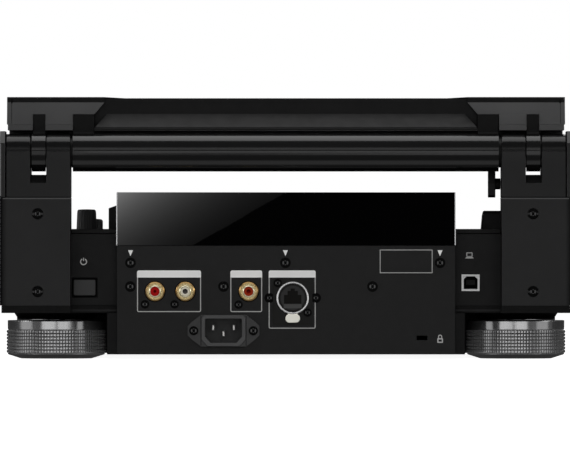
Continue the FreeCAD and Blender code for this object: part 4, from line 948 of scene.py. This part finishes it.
# Cards that only reflections see.
def card(name, verts, faces, level, gradient=None):
    me = bpy.data.meshes.new(name)
    me.from_pydata(verts, [], faces)
    o = bpy.data.objects.new(name, me)
    bpy.context.scene.collection.objects.link(o)
    cm = bpy.data.materials.new(name + "_light")
    cm.use_nodes = True
    nt = cm.node_tree
    for n_ in list(nt.nodes):
        nt.nodes.remove(n_)
    out = nt.nodes.new("ShaderNodeOutputMaterial")
    em = nt.nodes.new("ShaderNodeEmission")
    em.inputs[1].default_value = level
    if gradient:
        ax, az, c0 = gradient
        tc = nt.nodes.new("ShaderNodeTexCoord")
        sep = nt.nodes.new("ShaderNodeSeparateXYZ")
        nt.links.new(tc.outputs["Object"], sep.inputs[0])
        ma = nt.nodes.new("ShaderNodeMath")
        ma.operation = "MULTIPLY_ADD"
        nt.links.new(sep.outputs[0], ma.inputs[0])
        ma.inputs[1].default_value = ax
        ma.inputs[2].default_value = c0
        mb = nt.nodes.new("ShaderNodeMath")
        mb.operation = "MULTIPLY_ADD"
        nt.links.new(sep.outputs[2], mb.inputs[0])
        mb.inputs[1].default_value = az
        nt.links.new(ma.outputs[0], mb.inputs[2])
        ex = nt.nodes.new("ShaderNodeMath")
        ex.operation = "EXPONENT"
        nt.links.new(mb.outputs[0], ex.inputs[0])
        ml = nt.nodes.new("ShaderNodeMath")
        ml.operation = "MULTIPLY"
        ml.inputs[1].default_value = level
        nt.links.new(ex.outputs[0], ml.inputs[0])
        nt.links.new(ml.outputs[0], em.inputs[1])
    nt.links.new(em.outputs[0], out.inputs[0])
    me.materials.append(cm)
    o.visible_camera = False
    o.visible_diffuse = False
    o.visible_shadow = False
    o.visible_transmission = False
    return o


def curved_card(name, a0, a1, z0, z1, level, rad=2.2, n=8):
    """Part of an upright cylinder round the object; angles from the rear, towards -X."""
    v = []
    for i in range(n + 1):
        a = math.radians(a0 + (a1 - a0) * i / n)
        x, y = -rad * math.sin(a), 0.15 + rad * math.cos(a)
        v += [(x, y, z0), (x, y, z1)]
    return card(name, v, [(2 * i, 2 * i + 2, 2 * i + 3, 2 * i + 1) for i in range(n)], level)


LOW, HIGH = -0.46, 0.28
curved_card("band_a", -92, -61, LOW, HIGH, 0.50)
curved_card("band_ab", -61, -37, LOW, HIGH, 0.10)
curved_card("band_b", -36.5, -4.5, LOW, HIGH, 0.90)
curved_card("band_bc", -4.5, 0.5, LOW, HIGH, 0.16)
curved_card("band_c", 0.5, 30, LOW, HIGH, 0.95)
curved_card("band_cd", 30, 52, LOW, HIGH, 0.12)
curved_card("band_d", 52, 82, LOW, HIGH, 0.48)
curved_card("band_e", 95, 165, LOW, HIGH, 0.03)
curved_card("band_f", -165, -98, LOW, HIGH, 0.03)
curved_card("band_up", -40, 40, 0.94, 1.26, 0.85)
for side in (1, -1):
    # Small cards beside the chassis for the inner flank of each rear foot, and level with the side plates' edges.
    near, far = (0.1784, 0.1880) if side > 0 else (0.1735, 0.1835)
    card("foot_glint", [(side * 0.1196, y_, z_) for y_, z_ in ((near, 0.003), (far, 0.003), (far, 0.0255), (near, 0.0255))], [(0, 1, 2, 3)], 0.5)
    card("side_glint", [(side * 0.42, y_, z_) for y_, z_ in ((0.08, 0.100), (0.34, 0.100), (0.34, 0.20), (0.08, 0.20))], [(0, 1, 2, 3)], 4.0)
card("under_band", [(-1.5, 0.40, -0.9), (1.5, 0.40, -0.9), (1.5, 1.05, -0.9), (-1.5, 1.05, -0.9)], [(0, 1, 2, 3)], 0.48)

# Low card for the middle of the hinge barrel, just above what the gloss panel mirrors.
card("barrel_glint", [(-0.135, 0.50, 0.1128), (0.135, 0.50, 0.1128), (0.135, 0.50, 0.147), (-0.135, 0.50, 0.147)], [(0, 1, 2, 3)], 1.15)

# What the gloss panel mirrors: a dark flag, and before it a fading sheet with a slanted edge.
KC = 1.0 + (0.80 - 0.2055) / (0.205 + DIST - 0.2055)
KF = 1.0 + (0.83 - 0.2055) / (0.205 + DIST - 0.2055)


def seen_at(y, k, pts):
    return [(0.00066 + (x - 0.00066) * k, y, 0.0863 + (z - 0.0863) * k) for x, z in pts]


card("flag", seen_at(0.83, KF, [(0.1125, 0.0735), (0.1125, 0.1110), (-0.1125, 0.1110), (-0.1125, 0.0735)]), [(0, 1, 2, 3)], 0.0)
card("sheet", seen_at(0.80, KC, [(0.1125, 0.0735), (0.1125, 0.1110), (-0.0023, 0.1110), (0.0636, 0.0735)]), [(0, 1, 2, 3)], 1.1,
     (1 / (0.030 * KC), 1 / (0.0196 * KC), -0.0987 / 0.030 - (0.0917 - 0.0863 + 0.0863 / KC) / 0.0196))

bpy.context.scene.view_settings.view_transform = "Standard"
bpy.context.scene.view_settings.look = "None"
bpy.context.scene.view_settings.exposure = 0.0
bpy.context.scene.view_settings.gamma = 1.0
